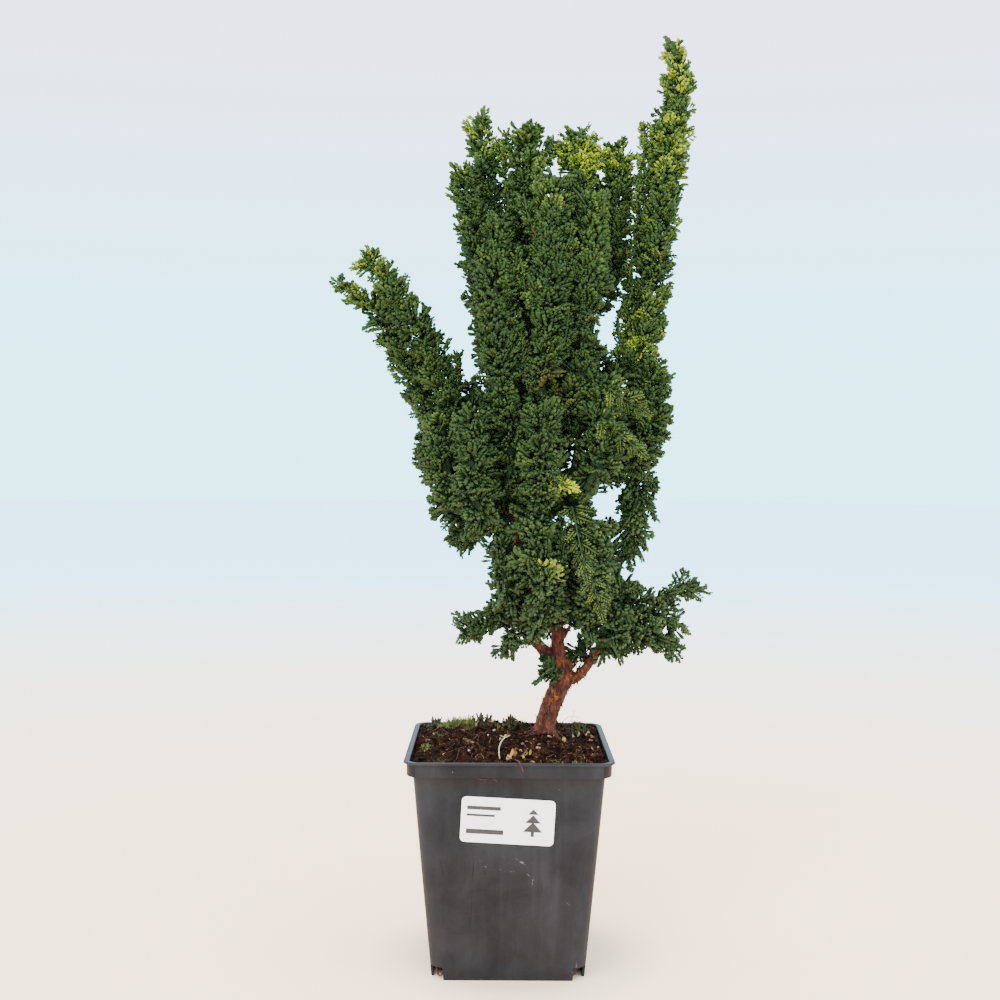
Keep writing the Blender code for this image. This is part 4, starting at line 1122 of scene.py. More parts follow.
@dataclass
class Canopy:
    """All the foliage: the spray shapes, and the rule that sets them on the stems."""

    area_per_sprig: float = 34.0
    inner_share: float = 0.42
    crowded_share: float = 0.30
    clump_scale: float = 0.10
    hollow_share: float = 0.55
    hollow_below: float = -0.26
    inside_top: float = 385.0
    inside_right: float = 62.0
    crowded_gap: float = 10.0
    stray_share: float = 0.25
    tip_sprays: int = 6
    knob_size: float = 3.4
    seed: int = 11
    shapes: dict[str, list[SprayShape]] = field(init=False)
    lines: dict[str, list[Vector]] = field(init=False)
    trees: dict[str, KDTree] = field(init=False)

    def __post_init__(self) -> None:
        """Make the spray shapes, the stems' axes and the trees that find the nearest other stem."""
        draw = Random(self.seed)
        # Each kind's maker, least and greatest length, pairs, width, least and greatest camber, and count
        kinds = {
            "hand": (hand_fingers, 9.0, 10.8, 4, 2.3, -0.05, 0.28, 6),
            "tuft": (hand_fingers, 7.0, 8.4, 3, 2.35, -0.2, 0.2, 5),
            "feather": (feather_fingers, 12.0, 15.0, 6, 1.8, 0.1, 0.35, 4),
            "plumelet": (feather_fingers, 12.0, 14.0, 6, 1.6, 0.1, 0.3, 4),
            "fan": (hand_fingers, 12.0, 14.5, 5, 2.6, 0.0, 0.3, 5),
            "sprig": (hand_fingers, 6.0, 7.0, 1, 2.9, -0.1, 0.2, 4),
        }
        self.shapes = {}
        for kind, (maker, low, high, pairs, width, flat, bent, count) in kinds.items():
            self.shapes[kind] = []
            for number in range(count):
                fingers = maker(draw, draw.uniform(low, high), pairs, width)
                self.shapes[kind].append(SprayShape(f"{kind}_{number}", fingers, draw.uniform(flat, bent)))
        self.lines = {stem.name: soft_path(stem.path, 1.0)[round(stem.bare):] for stem in STEMS}
        self.trees = {}
        for stem in STEMS:
            others = [place for name, line in self.lines.items() if name != stem.name for place in line[::2]]
            tree = KDTree(len(others))
            for place in others:
                tree.insert(place, 0)
            tree.balance()
            self.trees[stem.name] = tree

    @staticmethod
    def width(stem: Stem, share: float) -> float:
        """Return a stem's leafy radius at a share of its length, as its node has it.

        Args:
            stem: The stem.
            share: How far along it.

        Returns:
            The radius.
        """
        root = min(1.0, 0.55 + 4.0 * share)
        end = 1.0 - (1.0 - stem.tip) * max(0.0, (share - 0.55) / 0.45) ** 1.6
        return stem.reach * root * end

    def stations(self, stem: Stem, draw: Random) -> Iterator[Station]:
        """Yield the sprays of one stem.

        Args:
            stem: The stem to clothe.
            draw: Seeded random numbers.

        Returns:
            The sprays.
        """
        line = self.lines[stem.name]
        length = len(line) - 1
        count = round(tau * stem.reach * 0.9 * length / stem.habit.value.area)
        golden = pi * (3.0 - sqrt(5.0))
        level = (line[1] - line[0]).cross(FRONT).normalized()
        for number in range(count):
            share = (number + draw.uniform(0.1, 0.9)) / count
            if draw.random() > 0.3 + 0.7 * self.width(stem, share) / stem.reach:
                continue
            index = min(int(share * length), length - 1)
            axis = direction_at(line, index, 5)
            level = (level - axis * level.dot(axis)).normalized()
            angle = golden * number + draw.uniform(-0.35, 0.35)
            outward = turned(axis, level, angle)
            yield from self.spray_at(stem, line[index], axis, outward, share, draw)
        yield from self.tip_of(stem, line, draw)
        yield from self.sprigs(stem, line, draw)
        for shoot in stem.shoots:
            yield from self.branchlet(shoot, draw)
        for rib in stem.ribs:
            yield from self.frond(rib, draw)

    def spray_at(self, stem: Stem, centre: Vector, axis: Vector, outward: Vector, share: float,
                 draw: Random) -> Iterator[Station]:
        """Yield a spray at one place of a stem, unless another stem already fills that place.

        Args:
            stem: The stem.
            centre: The place on its axis.
            axis: Its direction there.
            outward: The way out of it.
            share: How far along it, from 0 to 1.
            draw: Seeded random numbers.

        Returns:
            The spray, if any.
        """
        radius = self.width(stem, share)
        tree = self.trees[stem.name]
        if tree.find(centre + outward * radius)[2] + 1.5 < radius and draw.random() < 0.8:
            return
        if stem.habit is Habit.PLUME and share > 0.85 and draw.random() < 0.3:
            return
        inside = centre.z < self.inside_top and centre.x < self.inside_right
        crowded = inside and tree.find(centre + outward * (radius + 9.0))[2] < self.crowded_gap
        if crowded and draw.random() > self.crowded_share:
            return
        sideways = axis.cross(outward)
        kind = draw.random()
        lean = draw.uniform(stem.habit.value.low, stem.habit.value.high) + 0.4 * share
        direction = (outward + axis * lean + sideways * draw.uniform(-0.8, 0.8)).normalized()
        if draw.random() < stem.habit.value.facing:
            facing = outward + sideways * draw.uniform(-0.6, 0.6) + axis * draw.uniform(-0.9, 0.3)
            facing.normalize()
            roll = 0.0
        else:
            facing = axis
            roll = draw.uniform(-1.2, 1.2)
        name = next(name for name, part in stem.habit.value.mixture if kind <= part)
        shape = draw.choice(self.shapes[name])
        scale = draw.uniform(0.84, 1.1) * (0.9 + 0.1 * min(1.0, radius / 13.0))
        length = shape.reach * scale
        rise = max(0.15, direction.dot(outward))
        stray = draw.uniform(0.5, 3.2) if draw.random() < self.stray_share else -0.7
        root_radius = max(radius * 0.12, radius * draw.uniform(0.66, 0.92) + stray - length * rise)
        origin = centre + outward * root_radius - axis * (length * 0.3 * max(0.0, lean) / (1.0 + abs(lean)))
        tip = origin + direction * length
        clump = noise.noise(tip * self.clump_scale)
        if clump < self.hollow_below and draw.random() < self.hollow_share:
            return
        # Brighter in full clumps and on strays that stand out, darker by hollows and deeper in: painted light
        # and shade.
        glow = self.glow_at(stem, tip, outward, share, draw) + 0.26 * clump + (0.06 if stray > 0.0 else -0.02)
        place = self.placed(origin, direction, facing, roll, scale)
        yield Station(shape, place, glow, self.dryness(origin, draw))

    def sprigs(self, stem: Stem, line: list[Vector], draw: Random) -> Iterator[Station]:
        """Yield the dim sprigs that fill a stem's inside and hide its wood.

        Args:
            stem: The stem.
            line: Its leafy axis.
            draw: Seeded random numbers.

        Returns:
            The sprigs.
        """
        length = len(line) - 1
        count = round(tau * stem.reach * self.inner_share * length / self.area_per_sprig)
        for number in range(count):
            share = (number + draw.random()) / count
            index = min(int(share * length), length - 1)
            axis = direction_at(line, index, 5)
            outward = turned(axis, beside(axis), draw.uniform(0, tau))
            radius = self.width(stem, share) * self.inner_share
            lean = draw.uniform(-1.4, 0.4) if share < 0.12 else draw.uniform(-0.2, 1.3)
            direction = (outward + axis * lean).normalized()
            shape = draw.choice(self.shapes["sprig"])
            scale = draw.uniform(0.8, 1.15)
            origin = line[index] + outward * max(0.5, radius - 2.5)
            yield Station(shape, self.placed(origin, direction, outward, draw.uniform(-1.2, 1.2), scale),
                          draw.uniform(-0.04, 0.12), self.dryness(origin, draw))

    @staticmethod
    def in_clear_air(station: Station) -> bool:
        """Tell whether a spray's end or middle lies in air that stays clear."""
        ends = (station.place @ Vector((station.shape.reach * share, 0.0, 0.0)) for share in (1.0, 0.5))
        return any(place.y < depth and hypot(place.x - x, place.z - z) < radius
                   for place in ends for x, z, radius, depth in CLEAR_AIR)

    def tip_of(self, stem: Stem, line: list[Vector], draw: Random) -> Iterator[Station]:
        """Yield the sprays that close a stem's tip.

        Args:
            stem: The stem.
            line: Its leafy axis.
            draw: Seeded random numbers.

        Returns:
            The sprays.
        """
        axis = (line[-1] - line[-6]).normalized()
        level = beside(axis)
        for number in range(self.tip_sprays):
            angle = tau * number / self.tip_sprays + draw.uniform(-0.3, 0.3)
            outward = turned(axis, level, angle)
            direction = (axis + outward * draw.uniform(0.05, 0.6)).normalized()
            shape = draw.choice(self.shapes["tuft" if number % 2 else "hand"])
            scale = draw.uniform(0.66, 0.84) * min(1.0, 0.5 + self.width(stem, 1.0) / 10.0)
            origin = line[-1] - axis * draw.uniform(7.5, 12.0) + outward * 0.8
            yield Station(shape, self.placed(origin, direction, outward, draw.uniform(-0.5, 0.5), scale),
                          self.glow_at(stem, line[-1], outward, 1.0, draw), self.dryness(origin, draw))

    def branchlet(self, shoot: Shoot, draw: Random) -> Iterator[Station]:
        """Yield the sprays of a short branchlet.

        Args:
            shoot: The branchlet.
            draw: Seeded random numbers.

        Returns:
            The sprays.
        """
        line = soft_path(shoot.path, 1.0)
        last = len(line) - 1
        step = 0
        while step <= last:
            share = step / last
            axis = direction_at(line, step, 3)
            outward = turned(axis, beside(axis), draw.uniform(0, tau))
            direction = (outward * (1.0 - 0.6 * share) + axis * draw.uniform(0.5, 1.1)).normalized()
            shape = draw.choice(self.shapes["hand" if draw.random() < 0.5 else "tuft"])
            scale = draw.uniform(0.66, 0.86) * min(1.0, shoot.reach / 5.5 + 0.1)
            origin = line[step] - axis * shape.reach * scale * 0.6
            # Brighter towards the shoot's end and high in the crown: young growth and painted light from
            # above.
            glow = shoot.glow + 0.1 * share + 0.12 * blend(400.0, 480.0, origin.z) + draw.uniform(-0.06, 0.14)
            yield Station(shape, self.placed(origin, direction, outward, draw.uniform(-0.8, 0.8), scale),
                          glow + spot_strength(origin, FRESH_SPOTS) * 0.6, self.dryness(origin, draw))
            step += 2 if draw.random() < 0.35 else 1

    def frond(self, rib: Rib, draw: Random) -> Iterator[Station]:
        """Yield the side sprays of a long flat frond, in pairs along its rib.

        Args:
            rib: The frond.
            draw: Seeded random numbers.

        Returns:
            The sprays.
        """
        root, tip = map(Vector, rib.path)
        axis = (tip - root).normalized()
        front = FRONT if root.y < 0.0 else -FRONT
        across = axis.cross(front).normalized()
        for pair in range(int(rib.pairs)):
            share = pair / rib.pairs
            for side in (-1, 1):
                spread = radians(58 - 26 * share)
                direction = (across * side * sin(spread) + axis * cos(spread)
                             + front * draw.uniform(-0.5, 0.35)).normalized()
                scale = rib.spread * (1.05 - 0.35 * share) * draw.uniform(0.75, 1.1)
                origin = root.lerp(tip, share) + front * draw.uniform(-2.0, 0.8)
                origin += axis * draw.uniform(-1.2, 1.2)
                shape = draw.choice(self.shapes["plumelet"])
                yield Station(shape, self.placed(origin, direction, front, draw.uniform(-0.7, 0.7), scale),
                              0.28 + draw.uniform(-0.09, 0.12), self.dryness(origin, draw) * 0.3)
        end = self.placed(tip - axis * 3.0, axis, front, 0.0, 0.7)
        yield Station(self.shapes["plumelet"][0], end, 0.3, 0.0)

    @staticmethod
    def placed(origin: Vector, direction: Vector, facing: Vector, roll: float, scale: float) -> Matrix:
        """Return the matrix that sets a spray at an origin, along a direction, with its face turned.

        Args:
            origin: Its root.
            direction: Where it points.
            facing: Where its face looks.
            roll: A turn about its axis.
            scale: Its size.

        Returns:
            The matrix.
        """
        across = facing.cross(direction).normalized()
        normal = direction.cross(across).normalized()
        turn = Matrix((direction, across, normal)).transposed().to_4x4()
        return Matrix.Translation(origin) @ turn @ Matrix.Rotation(roll, 4, "X") @ Matrix.Scale(scale, 4)

    @staticmethod
    def glow_at(stem: Stem, place: Vector, outward: Vector, share: float, draw: Random) -> float:
        """Return how bright a spray is: painted shade low down and inside, painted light near the top and on
        sprays that face up or to the front, and young growth at the growing tips.

        Args:
            stem: The stem.
            place: The spray's end.
            outward: The way out of the stem.
            share: How far along the stem it is.
            draw: Seeded random numbers.

        Returns:
            The glow.
        """
        # Painted shade low down and, from the middle up, on all but the right leader's side; painted light
        # near the top.
        height = 0.02 * blend(190.0, 300.0, place.z) + 0.12 * blend(405.0, 480.0, place.z)
        if place.x < 66.0:
            height -= 0.02 + 0.055 * blend(225.0, 285.0, place.z)
        young = 0.12 * share ** 3 if stem.habit is Habit.PLUME else 0.05 * share ** 3
        # Painted light on sprays that face up or to the front, and the fresh spots' young growth.
        lit_and_fresh = 0.10 * max(0.0, outward.z) + 0.03 * max(0.0, outward.dot(FRONT))
        lit_and_fresh += spot_strength(place, FRESH_SPOTS)
        return stem.glow + height + young + lit_and_fresh + draw.uniform(-0.13, 0.11)

    @staticmethod
    def dryness(place: Vector, draw: Random) -> float:
        """Return how brown a spray is.

        Args:
            place: Its root.
            draw: Seeded random numbers.

        Returns:
            From 0 to 1.
        """
        if draw.random() < 0.005:
            return draw.uniform(0.3, 0.7)
        return spot_strength(place, DRY_SPOTS) * draw.uniform(0.2, 1.0)

    def core(self, stem: Stem) -> tuple[Mesh, np.ndarray]:
        """Build the dark inner mass of a stem, painted shade that stands for the shadowed leaves deep inside,
        knobbly like them.

        Args:
            stem: The stem to fill.

        Returns:
            The mesh, and the tone of each of its points, lighter on the knobs and darker between them:
            painted light and shade.
        """
        line = self.lines[stem.name]
        last = len(line) - 1
        points = []
        for index in range(0, last + 1, 2):
            share = index / last
            fullness = stem.habit.value.core * (1.0 - 0.5 * share)
            points.append((*line[index], max(stem.wood, self.width(stem, share) * fullness)))
        points.append((*line[-1], 0.8))
        mesh = tube_mesh(points, 12)
        tones = np.zeros(len(mesh.vertices), np.float32)
        for vert in mesh.vertices:
            knob = 1.0 - min(1.0, noise.voronoi(vert.co / self.knob_size)[0][0] * 1.6)
            swell = noise.noise(vert.co * 0.22)
            vert.co += vert.normal * (knob * 2.4 + swell * 2.6 - 0.9)
            # Lighter on the knobs and darker in the pits between them: painted light and shade.
            tones[vert.index] = 0.5 * knob * knob + 0.15 * swell
        return mesh, tones

    def raise_stem(self, stem: Stem, number: int, material: Material) -> None:
        """Build one stem's foliage as one piece that replaces its node.

        Args:
            stem: The stem to build.
            number: Its place in the table, which seeds its variety.
            material: The leaves' finish.
        """
        bm = bmesh.new()
        core, knobs = self.core(stem)
        bm.from_mesh(core)
        bpy.data.meshes.remove(core)
        for shoot in stem.shoots:
            line = soft_path(shoot.path, 3.0)
            add_tube(bm, [(*place, 1.1 - 0.5 * i / len(line)) for i, place in enumerate(line)], 6)
        for rib in stem.ribs:
            add_tube(bm, [(*rib.path[0], 0.5), (*rib.path[1], 0.3)], 4)
        wood = len(bm.verts)
        # The inner mass and the wood take the knobs' tones and a low glow, so they are painted dark: painted
        # shade.
        tones = [knobs, np.zeros(wood - len(knobs), np.float32)]
        glows = [np.full(wood, -0.04, np.float32)]
        dries = [np.zeros(wood, np.float32)]
        for station in self.stations(stem, Random(self.seed * 100 + number)):
            if self.in_clear_air(station):
                continue
            copy = station.shape.mesh.copy()
            copy.transform(station.place)
            bm.from_mesh(copy)
            bpy.data.meshes.remove(copy)
            size = len(station.shape.tones)
            tones.append(station.shape.tones)
            glows.append(np.full(size, station.glow, np.float32))
            dries.append(np.full(size, station.dry, np.float32))
        piece = piece_from("foliage_" + stem.name, bm, material)
        piece.data.shade_smooth()
        for key, values in (("tone", tones), ("glow", glows), ("dry", dries)):
            store(piece.data, key, np.concatenate(values))
        settle(piece, Slot.FOLIAGE, stem.name)

    def build(self) -> None:
        """Build every stem's foliage."""
        material = LeafFinish().material()
        for number, stem in enumerate(STEMS):
            self.raise_stem(stem, number, material)


def store(mesh: Mesh, name: str, values: np.ndarray) -> None:
    """Store one value a point on a mesh."""
    attribute = mesh.attributes.new(name, "FLOAT", "POINT")
    attribute.data.foreach_set("value", values.astype(np.float32))


@dataclass
class Trunk:
    """The trunk, its limbs and roots: remeshed into one skin where it shows, with peeling bark."""

    voxel: float = 0.68
    relief: float = 0.55
    flakes: int = 120
    curls_per_patch: int = 16
    shown: tuple[float, float] = (125.0, 196.0)
    seed: int = 5
    bare_wood: tuple[Rows, ...] = paths("""
        20.5 12 112 6.6, 20.5 12 122 6.6, 20.9 12 127 6.3, 22.8 12 135 6, 26.5 12 145 5.9, \
        30 11.5 154 6.3, 31 11 160 6, 29 10.5 168 4.6, 28 10 178 3.9, 26.5 9 190 3.8, 20 7 206 3.7, \
        11 5 221 3.6, 5 3 236 3.6, 4.5 3 254 3.3, 8 3 274 3.1
        30.5 11 158 5, 32.5 10.5 163 4.4, 34.5 10 167 2.8
        29.5 10.5 163 4.3, 21 9 171 3.7, 14 7.5 179 3.2, 7 5 190 2.2
        31 11 156 3.8, 39 11 156.5 3.1, 45 10 163 2.9, 50 9 171 2.7, 55 8 181 2.3, 58 7 192 1.8
        28.5 10 176 1.8, 32 9 181 1.4, 35 8 187 1
        17 9 127 2, 14 6 124 1.3, 11 3 121.5 0.8
        24 8 127 1.8, 27 4 124 1.2, 30 1 121.5 0.7""")
    hidden_wood: tuple[Rows, ...] = paths("""
        8 3 274 3.1, 13 3 294 2.8, 20 3 314 2.5, 25 3 336 2.2, 28 4 358 1.9
        4.5 3 250 3, -6 1 258 2.7, -16 -1 270 2.4, -25 -2 284 2.1
        6 3 262 3.1, 20 1 268 2.9, 36 -1 276 2.7, 50 -2 288 2.5, 60 -2 304 2.2, 67 -2 324 1.9
        4.7 3 247 2.8, 12 14 256 2.4, 18 24 270 2
        6 3 263 2.6, 10 -8 276 2.2, 14 -18 292 1.9
        8 3 274 2.5, -1 5 292 2.2, -7 6 308 1.9""")
    # Fresh orange patches: x, y, z, radius and strength
    fresh_patches: Rows = rows("""
        25.5 5 147 5.5 1, 23 6 143 3 0.8, 36 5 156 4.5 1, 41 7 159 4 0.9, 29 6 166 3.5 0.8,
        48 5 170 3.5 0.9, 52 5 176 3 0.7, 21.5 6 138 2.5 0.6, 34 18 150 5 0.7, 24 18 136 3.5 0.6""")

    def build(self) -> None:
        """Build the trunk as one piece that replaces its node."""
        bm = bmesh.new()
        for limb in self.bare_wood:
            add_tube(bm, soft_tube(limb, 1.5), 14)
        skin = piece_from("wood_skin", bm, BarkFinish().material())
        modified(skin, "REMESH", mode="VOXEL", voxel_size=self.voxel * MM, adaptivity=0.0)
        bm = bmesh.new()
        bm.from_mesh(skin.data)
        bm.transform(GROWTH_TO_FRAME.inverted())
        bpy.data.objects.remove(skin, do_unlink=True)
        bmesh.ops.smooth_vert(bm, verts=bm.verts, factor=0.5, use_axis_x=True, use_axis_y=True,
                              use_axis_z=True)
        bm.normal_update()
        self.roughen(bm)
        for place, normal, chance in self.flake_spots(bm):
            self.add_flake(bm, place, normal, chance)
        for limb in self.hidden_wood:
            add_tube(bm, soft_tube(limb, 3.0), 8)
        for stem in STEMS:
            path = soft_path(stem.path, 3.0)[: max(2, round(stem.bare / 3.0) + 2)]
            radii = [stem.wood * (1.25 - 0.3 * i / len(path)) for i in range(len(path))]
            add_tube(bm, [(*place, radius) for place, radius in zip(path, radii)], 6)
        bm.verts.ensure_lookup_table()
        fresh = np.array([spot_strength(vert.co, self.fresh_patches) for vert in bm.verts], np.float32)
        piece = piece_from("trunk_wood", bm, bpy.data.materials["peeling_bark"])
        piece.data.shade_smooth()
        store(piece.data, "fresh", fresh)
        settle(piece, Slot.BARK, "trunk")

    def roughen(self, bm: Shape) -> None:
        """Raise the bark's strands and plates on the skin.

        Args:
            bm: The skin.
        """
        moves = []
        for vert in bm.verts:
            place = vert.co
            strand = noise.turbulence(Vector((place.x * 0.55, place.y * 0.55, place.z * 0.2)), 3, False)
            plate = noise.noise(Vector((place.x * 0.28, place.y * 0.28, place.z * 0.42)))
            lump = noise.noise(place * 0.12)
            moves.append(vert.normal * self.relief * (strand * 0.9 - 0.35 + plate * 0.55 + lump * 0.7))
        for vert, move in zip(bm.verts, moves):
            vert.co += move

    def flake_spots(self, bm: Shape) -> list[tuple[Vector, Vector, float]]:
        """Return places, normals and a size factor for the loose flakes of bark.

        Args:
            bm: The skin.

        Returns:
            The spots.
        """
        draw = Random(self.seed)
        shown = [vert for vert in bm.verts if self.shown[0] < vert.co.z < self.shown[1]]
        chosen = [(draw.choice(shown), draw.random()) for _ in range(self.flakes)]
        for x, y, z, radius, _strength in self.fresh_patches:
            near = [vert for vert in shown if (vert.co - Vector((x, y, z))).length < radius + 1.0]
            if near:
                chosen += [(draw.choice(near), draw.random() * 0.35) for _ in range(self.curls_per_patch)]
        return [(vert.co.copy(), vert.normal.copy(), chance) for vert, chance in chosen]

    def add_flake(self, bm: Shape, place: Vector, normal: Vector, chance: float) -> None:
        """Add one curled flake of bark that lifts off the trunk at one end.

        Args:
            bm: The trunk so far.
            place: The flake's root.
            normal: The bark's normal there.
            chance: A number from 0 to 1 that sets its size and turn.
        """
        strip = bmesh.new()
        bmesh.ops.create_grid(strip, x_segments=3, y_segments=1, size=0.5)
        bmesh.ops.solidify(strip, geom=strip.faces[:], thickness=0.25)
        length = 1.3 + 3.0 * chance
        width = 0.7 + 1.1 * ((chance * 7.3) % 1.0)
        upright = (UP - normal * UP.dot(normal)).normalized()
        spin = Matrix.Rotation((chance * 13.7 % 1.0 - 0.5) * 1.7, 3, normal)
        along = spin @ upright * (1 if chance > 0.4 else -1)
        across = normal.cross(along)
        for vert in strip.verts:
            share = vert.co.x + 0.5
            lift = 0.1 + 1.2 * share * share * (0.5 + chance)
            taper = 1.0 - 0.65 * share
            vert.co = (place + along * (share * length) + across * (vert.co.y * width * taper)
                       + normal * (lift + vert.co.z))
        merge(bm, strip)


def soil_height(x: float, y: float) -> float:
    """Return the height of the bumpy soil, domed and a little higher towards the back.

    Args:
        x: Across the pot.
        y: Towards its back.

    Returns:
        The height.
    """
    away = min(1.0, max(abs(x), abs(y)) / (BAND_HALF - WALL))
    dome = 5.5 * (1.0 - away ** 3)
    bumps = sin(0.31 * x + 0.7) * cos(0.27 * y) + 0.6 * sin(0.53 * x - 0.41 * y + 2.0)
    return 118.9 + dome + 1.4 * y / BAND_HALF + 1.5 * bumps * (1.0 - 0.6 * away)


def ground_height(x: float, y: float) -> float:
    """Return the height of the soil with its crumbs.

    Args:
        x: Across the pot.
        y: Towards its back.

    Returns:
        The height.
    """
    rough = noise.turbulence(Vector((x * 0.16, y * 0.16, 3.0)), 4, False) - 0.45
    fine = noise.noise(Vector((x * 0.7, y * 0.7, 9.0)))
    return soil_height(x, y) + 2.2 * rough + 0.55 * fine


@dataclass
class SoilBed:
    """The peat, with its chips, fibres, moss and small finds."""

    half: float = BAND_HALF - WALL - SOIL_GAP
    cells: int = 112
    chips: int = 2300
    fibres: int = 480
    curls_per_tuft: int = 11
    trunk_roots: int = 22
    root_start: float = 5.2
    seed: int = 23
    # Moss cushions: x, y, radius, blades and blade length
    fresh_cushions: Rows = rows("""
        -33 35 8 420 8, -24 38 7 320 8.5, 26 -47 5 130 2.4, 37 -45 6 150 2.4, -4 30 5 90 3.4,
        -46 -14 4 80 3.4""")
    dark_cushions: Rows = rows("""
        -14 37 8 260 4.6, -45 43 5 120 6.5, 6 42 8 210 4.4, 28 43 9 240 4.6, 43 39 7 180 4.6,
        38 24 7 130 3.4, -40 12 6 110 3, -38 -42 6 90 2, -24 26 6 120 3.4""")
    # Dark curled tufts: x, y and height
    curls: Rows = rows("-18 41 8, -13 43 7, -1 45 5.5, 4 46 5, -43 46 6")
    # White and cream grit: x, y and size
    grit: Rows = rows("""
        -16 45 1.5, -9.3 27 1.2, -10 24 1.4, -11.8 5 1, -8.4 6.5 1.3, -29 14 1.2, -27 16 0.9, 14.5 24 1.3,
        8 22 0.8, -22 -28 1.3, 44 20 0.9, 1 12 0.8, -20 -34 0.8, 25 -20 0.7""")
    # Fallen leaves, orange and then yellow-green: x, y, heading in degrees, pitch, length, width and curl
    orange_leaves: Rows = rows("""
        0 -37 25 30 6 3.4 1.3, 3 -35 70 55 4.6 2.8 1.6, 6 -38 -20 15 5.2 2.2 1.1, 8.5 -36 10 25 3.6 2 1.5,
        24 -50 30 20 3 1.8 1.2, 1.5 -40 160 12 3.4 2 0.9""")
    green_leaves: Rows = rows("""
        40 12 20 40 3.6 2.6 1.2, 38 11 150 30 3 2.2 1.2, 31 -8 80 50 3.4 2.2 1.3, 33 -8 200 30 3 2 1.2,
        11 -36 40 50 3.6 1.8 0.9, 8 -40 120 40 3.4 1.6 1, -1 -38 100 50 3 1.5 0.9, 47 26 80 30 2.6 1.8 1.1""")
    # The seedling's stalk, and the headings of its leaves in degrees
    stalk: Rows = rows("-5 -39 119.5 0.34, -5.6 -39 125 0.32, -4.6 -39 129 0.28, -2.4 -39 131.8 0.22")
    stalk_leaves: tuple[float, ...] = (160, 20, 80)
    # Red roots given one by one: over the lip, under the rim, by the trunk and at the drain notches
    strands: tuple[Rows, ...] = paths("""
        3 -49 122 0.28, 5 -56 122.6 0.28, 5.8 -57.2 121 0.24, 7.4 -57.4 117.4 0.14
        4 -52 122 0.24, 5.6 -56.6 122.4 0.22, 5.4 -57.2 120 0.12
        -17.5 -52.6 112.8 0.2, -14 -53.2 112.2 0.2, -10.5 -52.8 112.6 0.18
        -13.5 -52.9 112.6 0.18, -12.5 -53.2 111.4 0.14, -13.2 -52.6 110.2 0.1
        -9.5 -52.6 112.8 0.2, -7.6 -53 112 0.16, -6.4 -52.6 111 0.1
        -11.5 -52.9 112.6 0.16, -9.2 -53.2 111.8 0.14, -7.2 -52.9 112.6 0.14
        27 14 123 0.2, 31 13 130 0.16, 36 13 133.5 0.13, 41 13 132.5 0.1
        28 16 123 0.18, 33 15 127 0.14, 37 16 132 0.12, 38 16 137 0.1
        -39 -38 7.6 0.5, -38.4 -38.4 3 0.5, -36.4 -39 1.4 0.45, -35.4 -39 3.6 0.35
        -36 -38 7.6 0.5, -34.6 -39 3.4 0.5, -32.6 -39.6 2.6 0.35, -31.8 -39.4 5.4 0.3
        36.4 -38 7.6 0.5, 36.8 -39 3.6 0.45, 34.4 -39.6 2.2 0.4, 32.8 -39.4 4.4 0.3
        -37 38 7.6 0.5, -37 39 2.8 0.45, -34 39.4 2.4 0.35
        37 37 7.6 0.5, 38 38.6 3 0.45, 35.4 39 2.2 0.35""")

    def bed(self) -> None:
        """Build the bed itself: a fine top, and sides down to the pot's floor, as one closed skin."""
        bm = bmesh.new()
        bmesh.ops.create_grid(bm, x_segments=self.cells, y_segments=self.cells, size=self.half)
        for vert in bm.verts:
            self.round_corner(vert.co, self.half, CORNER_RADIUS - WALL)
        rim = [edge for edge in bm.edges if edge.is_boundary]
        for vert in bm.verts:
            vert.co.z = ground_height(vert.co.x, vert.co.y)
        ledge = BODY_TOP + WALL + SOIL_GAP
        levels = ((ledge, 1.0), (ledge, (body_half(ledge) - WALL - SOIL_GAP) / self.half),
                  (FLOOR_TOP + SOIL_GAP, (body_half(FLOOR_TOP) - WALL - SOIL_GAP) / self.half))
        grown = 1.0
        for height, scale in levels:
            made = bmesh.ops.extrude_edge_only(bm, edges=rim)["geom"]
            rim = [item for item in made if isinstance(item, bmesh.types.BMEdge) and item.is_boundary]
            verts = {vert for edge in rim for vert in edge.verts}
            for vert in verts:
                vert.co = Vector((vert.co.x * scale / grown, vert.co.y * scale / grown, height))
            grown = scale
        bmesh.ops.holes_fill(bm, edges=rim)
        bmesh.ops.recalc_face_normals(bm, faces=bm.faces)
        piece = piece_from("soil_bed", bm, PeatFinish().material())
        piece.data.shade_smooth()
        store(piece.data, "shade", np.zeros(len(piece.data.vertices)))
        settle(piece, Slot.PEAT, "soil")

    @staticmethod
    def round_corner(co: Vector, half: float, radius: float) -> None:
        """Pull a point of a square into a rounded square.

        Args:
            co: The point, which is moved.
            half: The square's half width.
            radius: Its corners' radius.
        """
        inner = half - radius
        over = Vector((max(0.0, abs(co.x) - inner), max(0.0, abs(co.y) - inner)))
        if over.x > 0.0 and over.y > 0.0:
            reach = max(over.x, over.y)
            over = over.normalized() * reach
            co.x = copysign(inner + over.x, co.x)
            co.y = copysign(inner + over.y, co.y)

    def within(self, value: float, margin: float) -> float:
        """Return a coordinate kept a margin inside the soil's edge."""
        return max(-self.half + margin, min(self.half - margin, value))

    def place(self, draw: Random, margin: float = 2.0) -> Vector:
        """Return a place on the soil, away from the trunk.

        Args:
            draw: Seeded random numbers.
            margin: The least distance from the edge.

        Returns:
            The place.
        """
        while True:
            x = draw.uniform(-self.half + margin, self.half - margin)
            y = draw.uniform(-self.half + margin, self.half - margin)
            corner = max(abs(x), abs(y)) > self.half - 5.0 and min(abs(x), abs(y)) > self.half - 7.0
            if not corner and (Vector((x, y)) - TRUNK_FOOT).length > TRUNK_FOOT_RADIUS:
                return Vector((x, y, ground_height(x, y)))

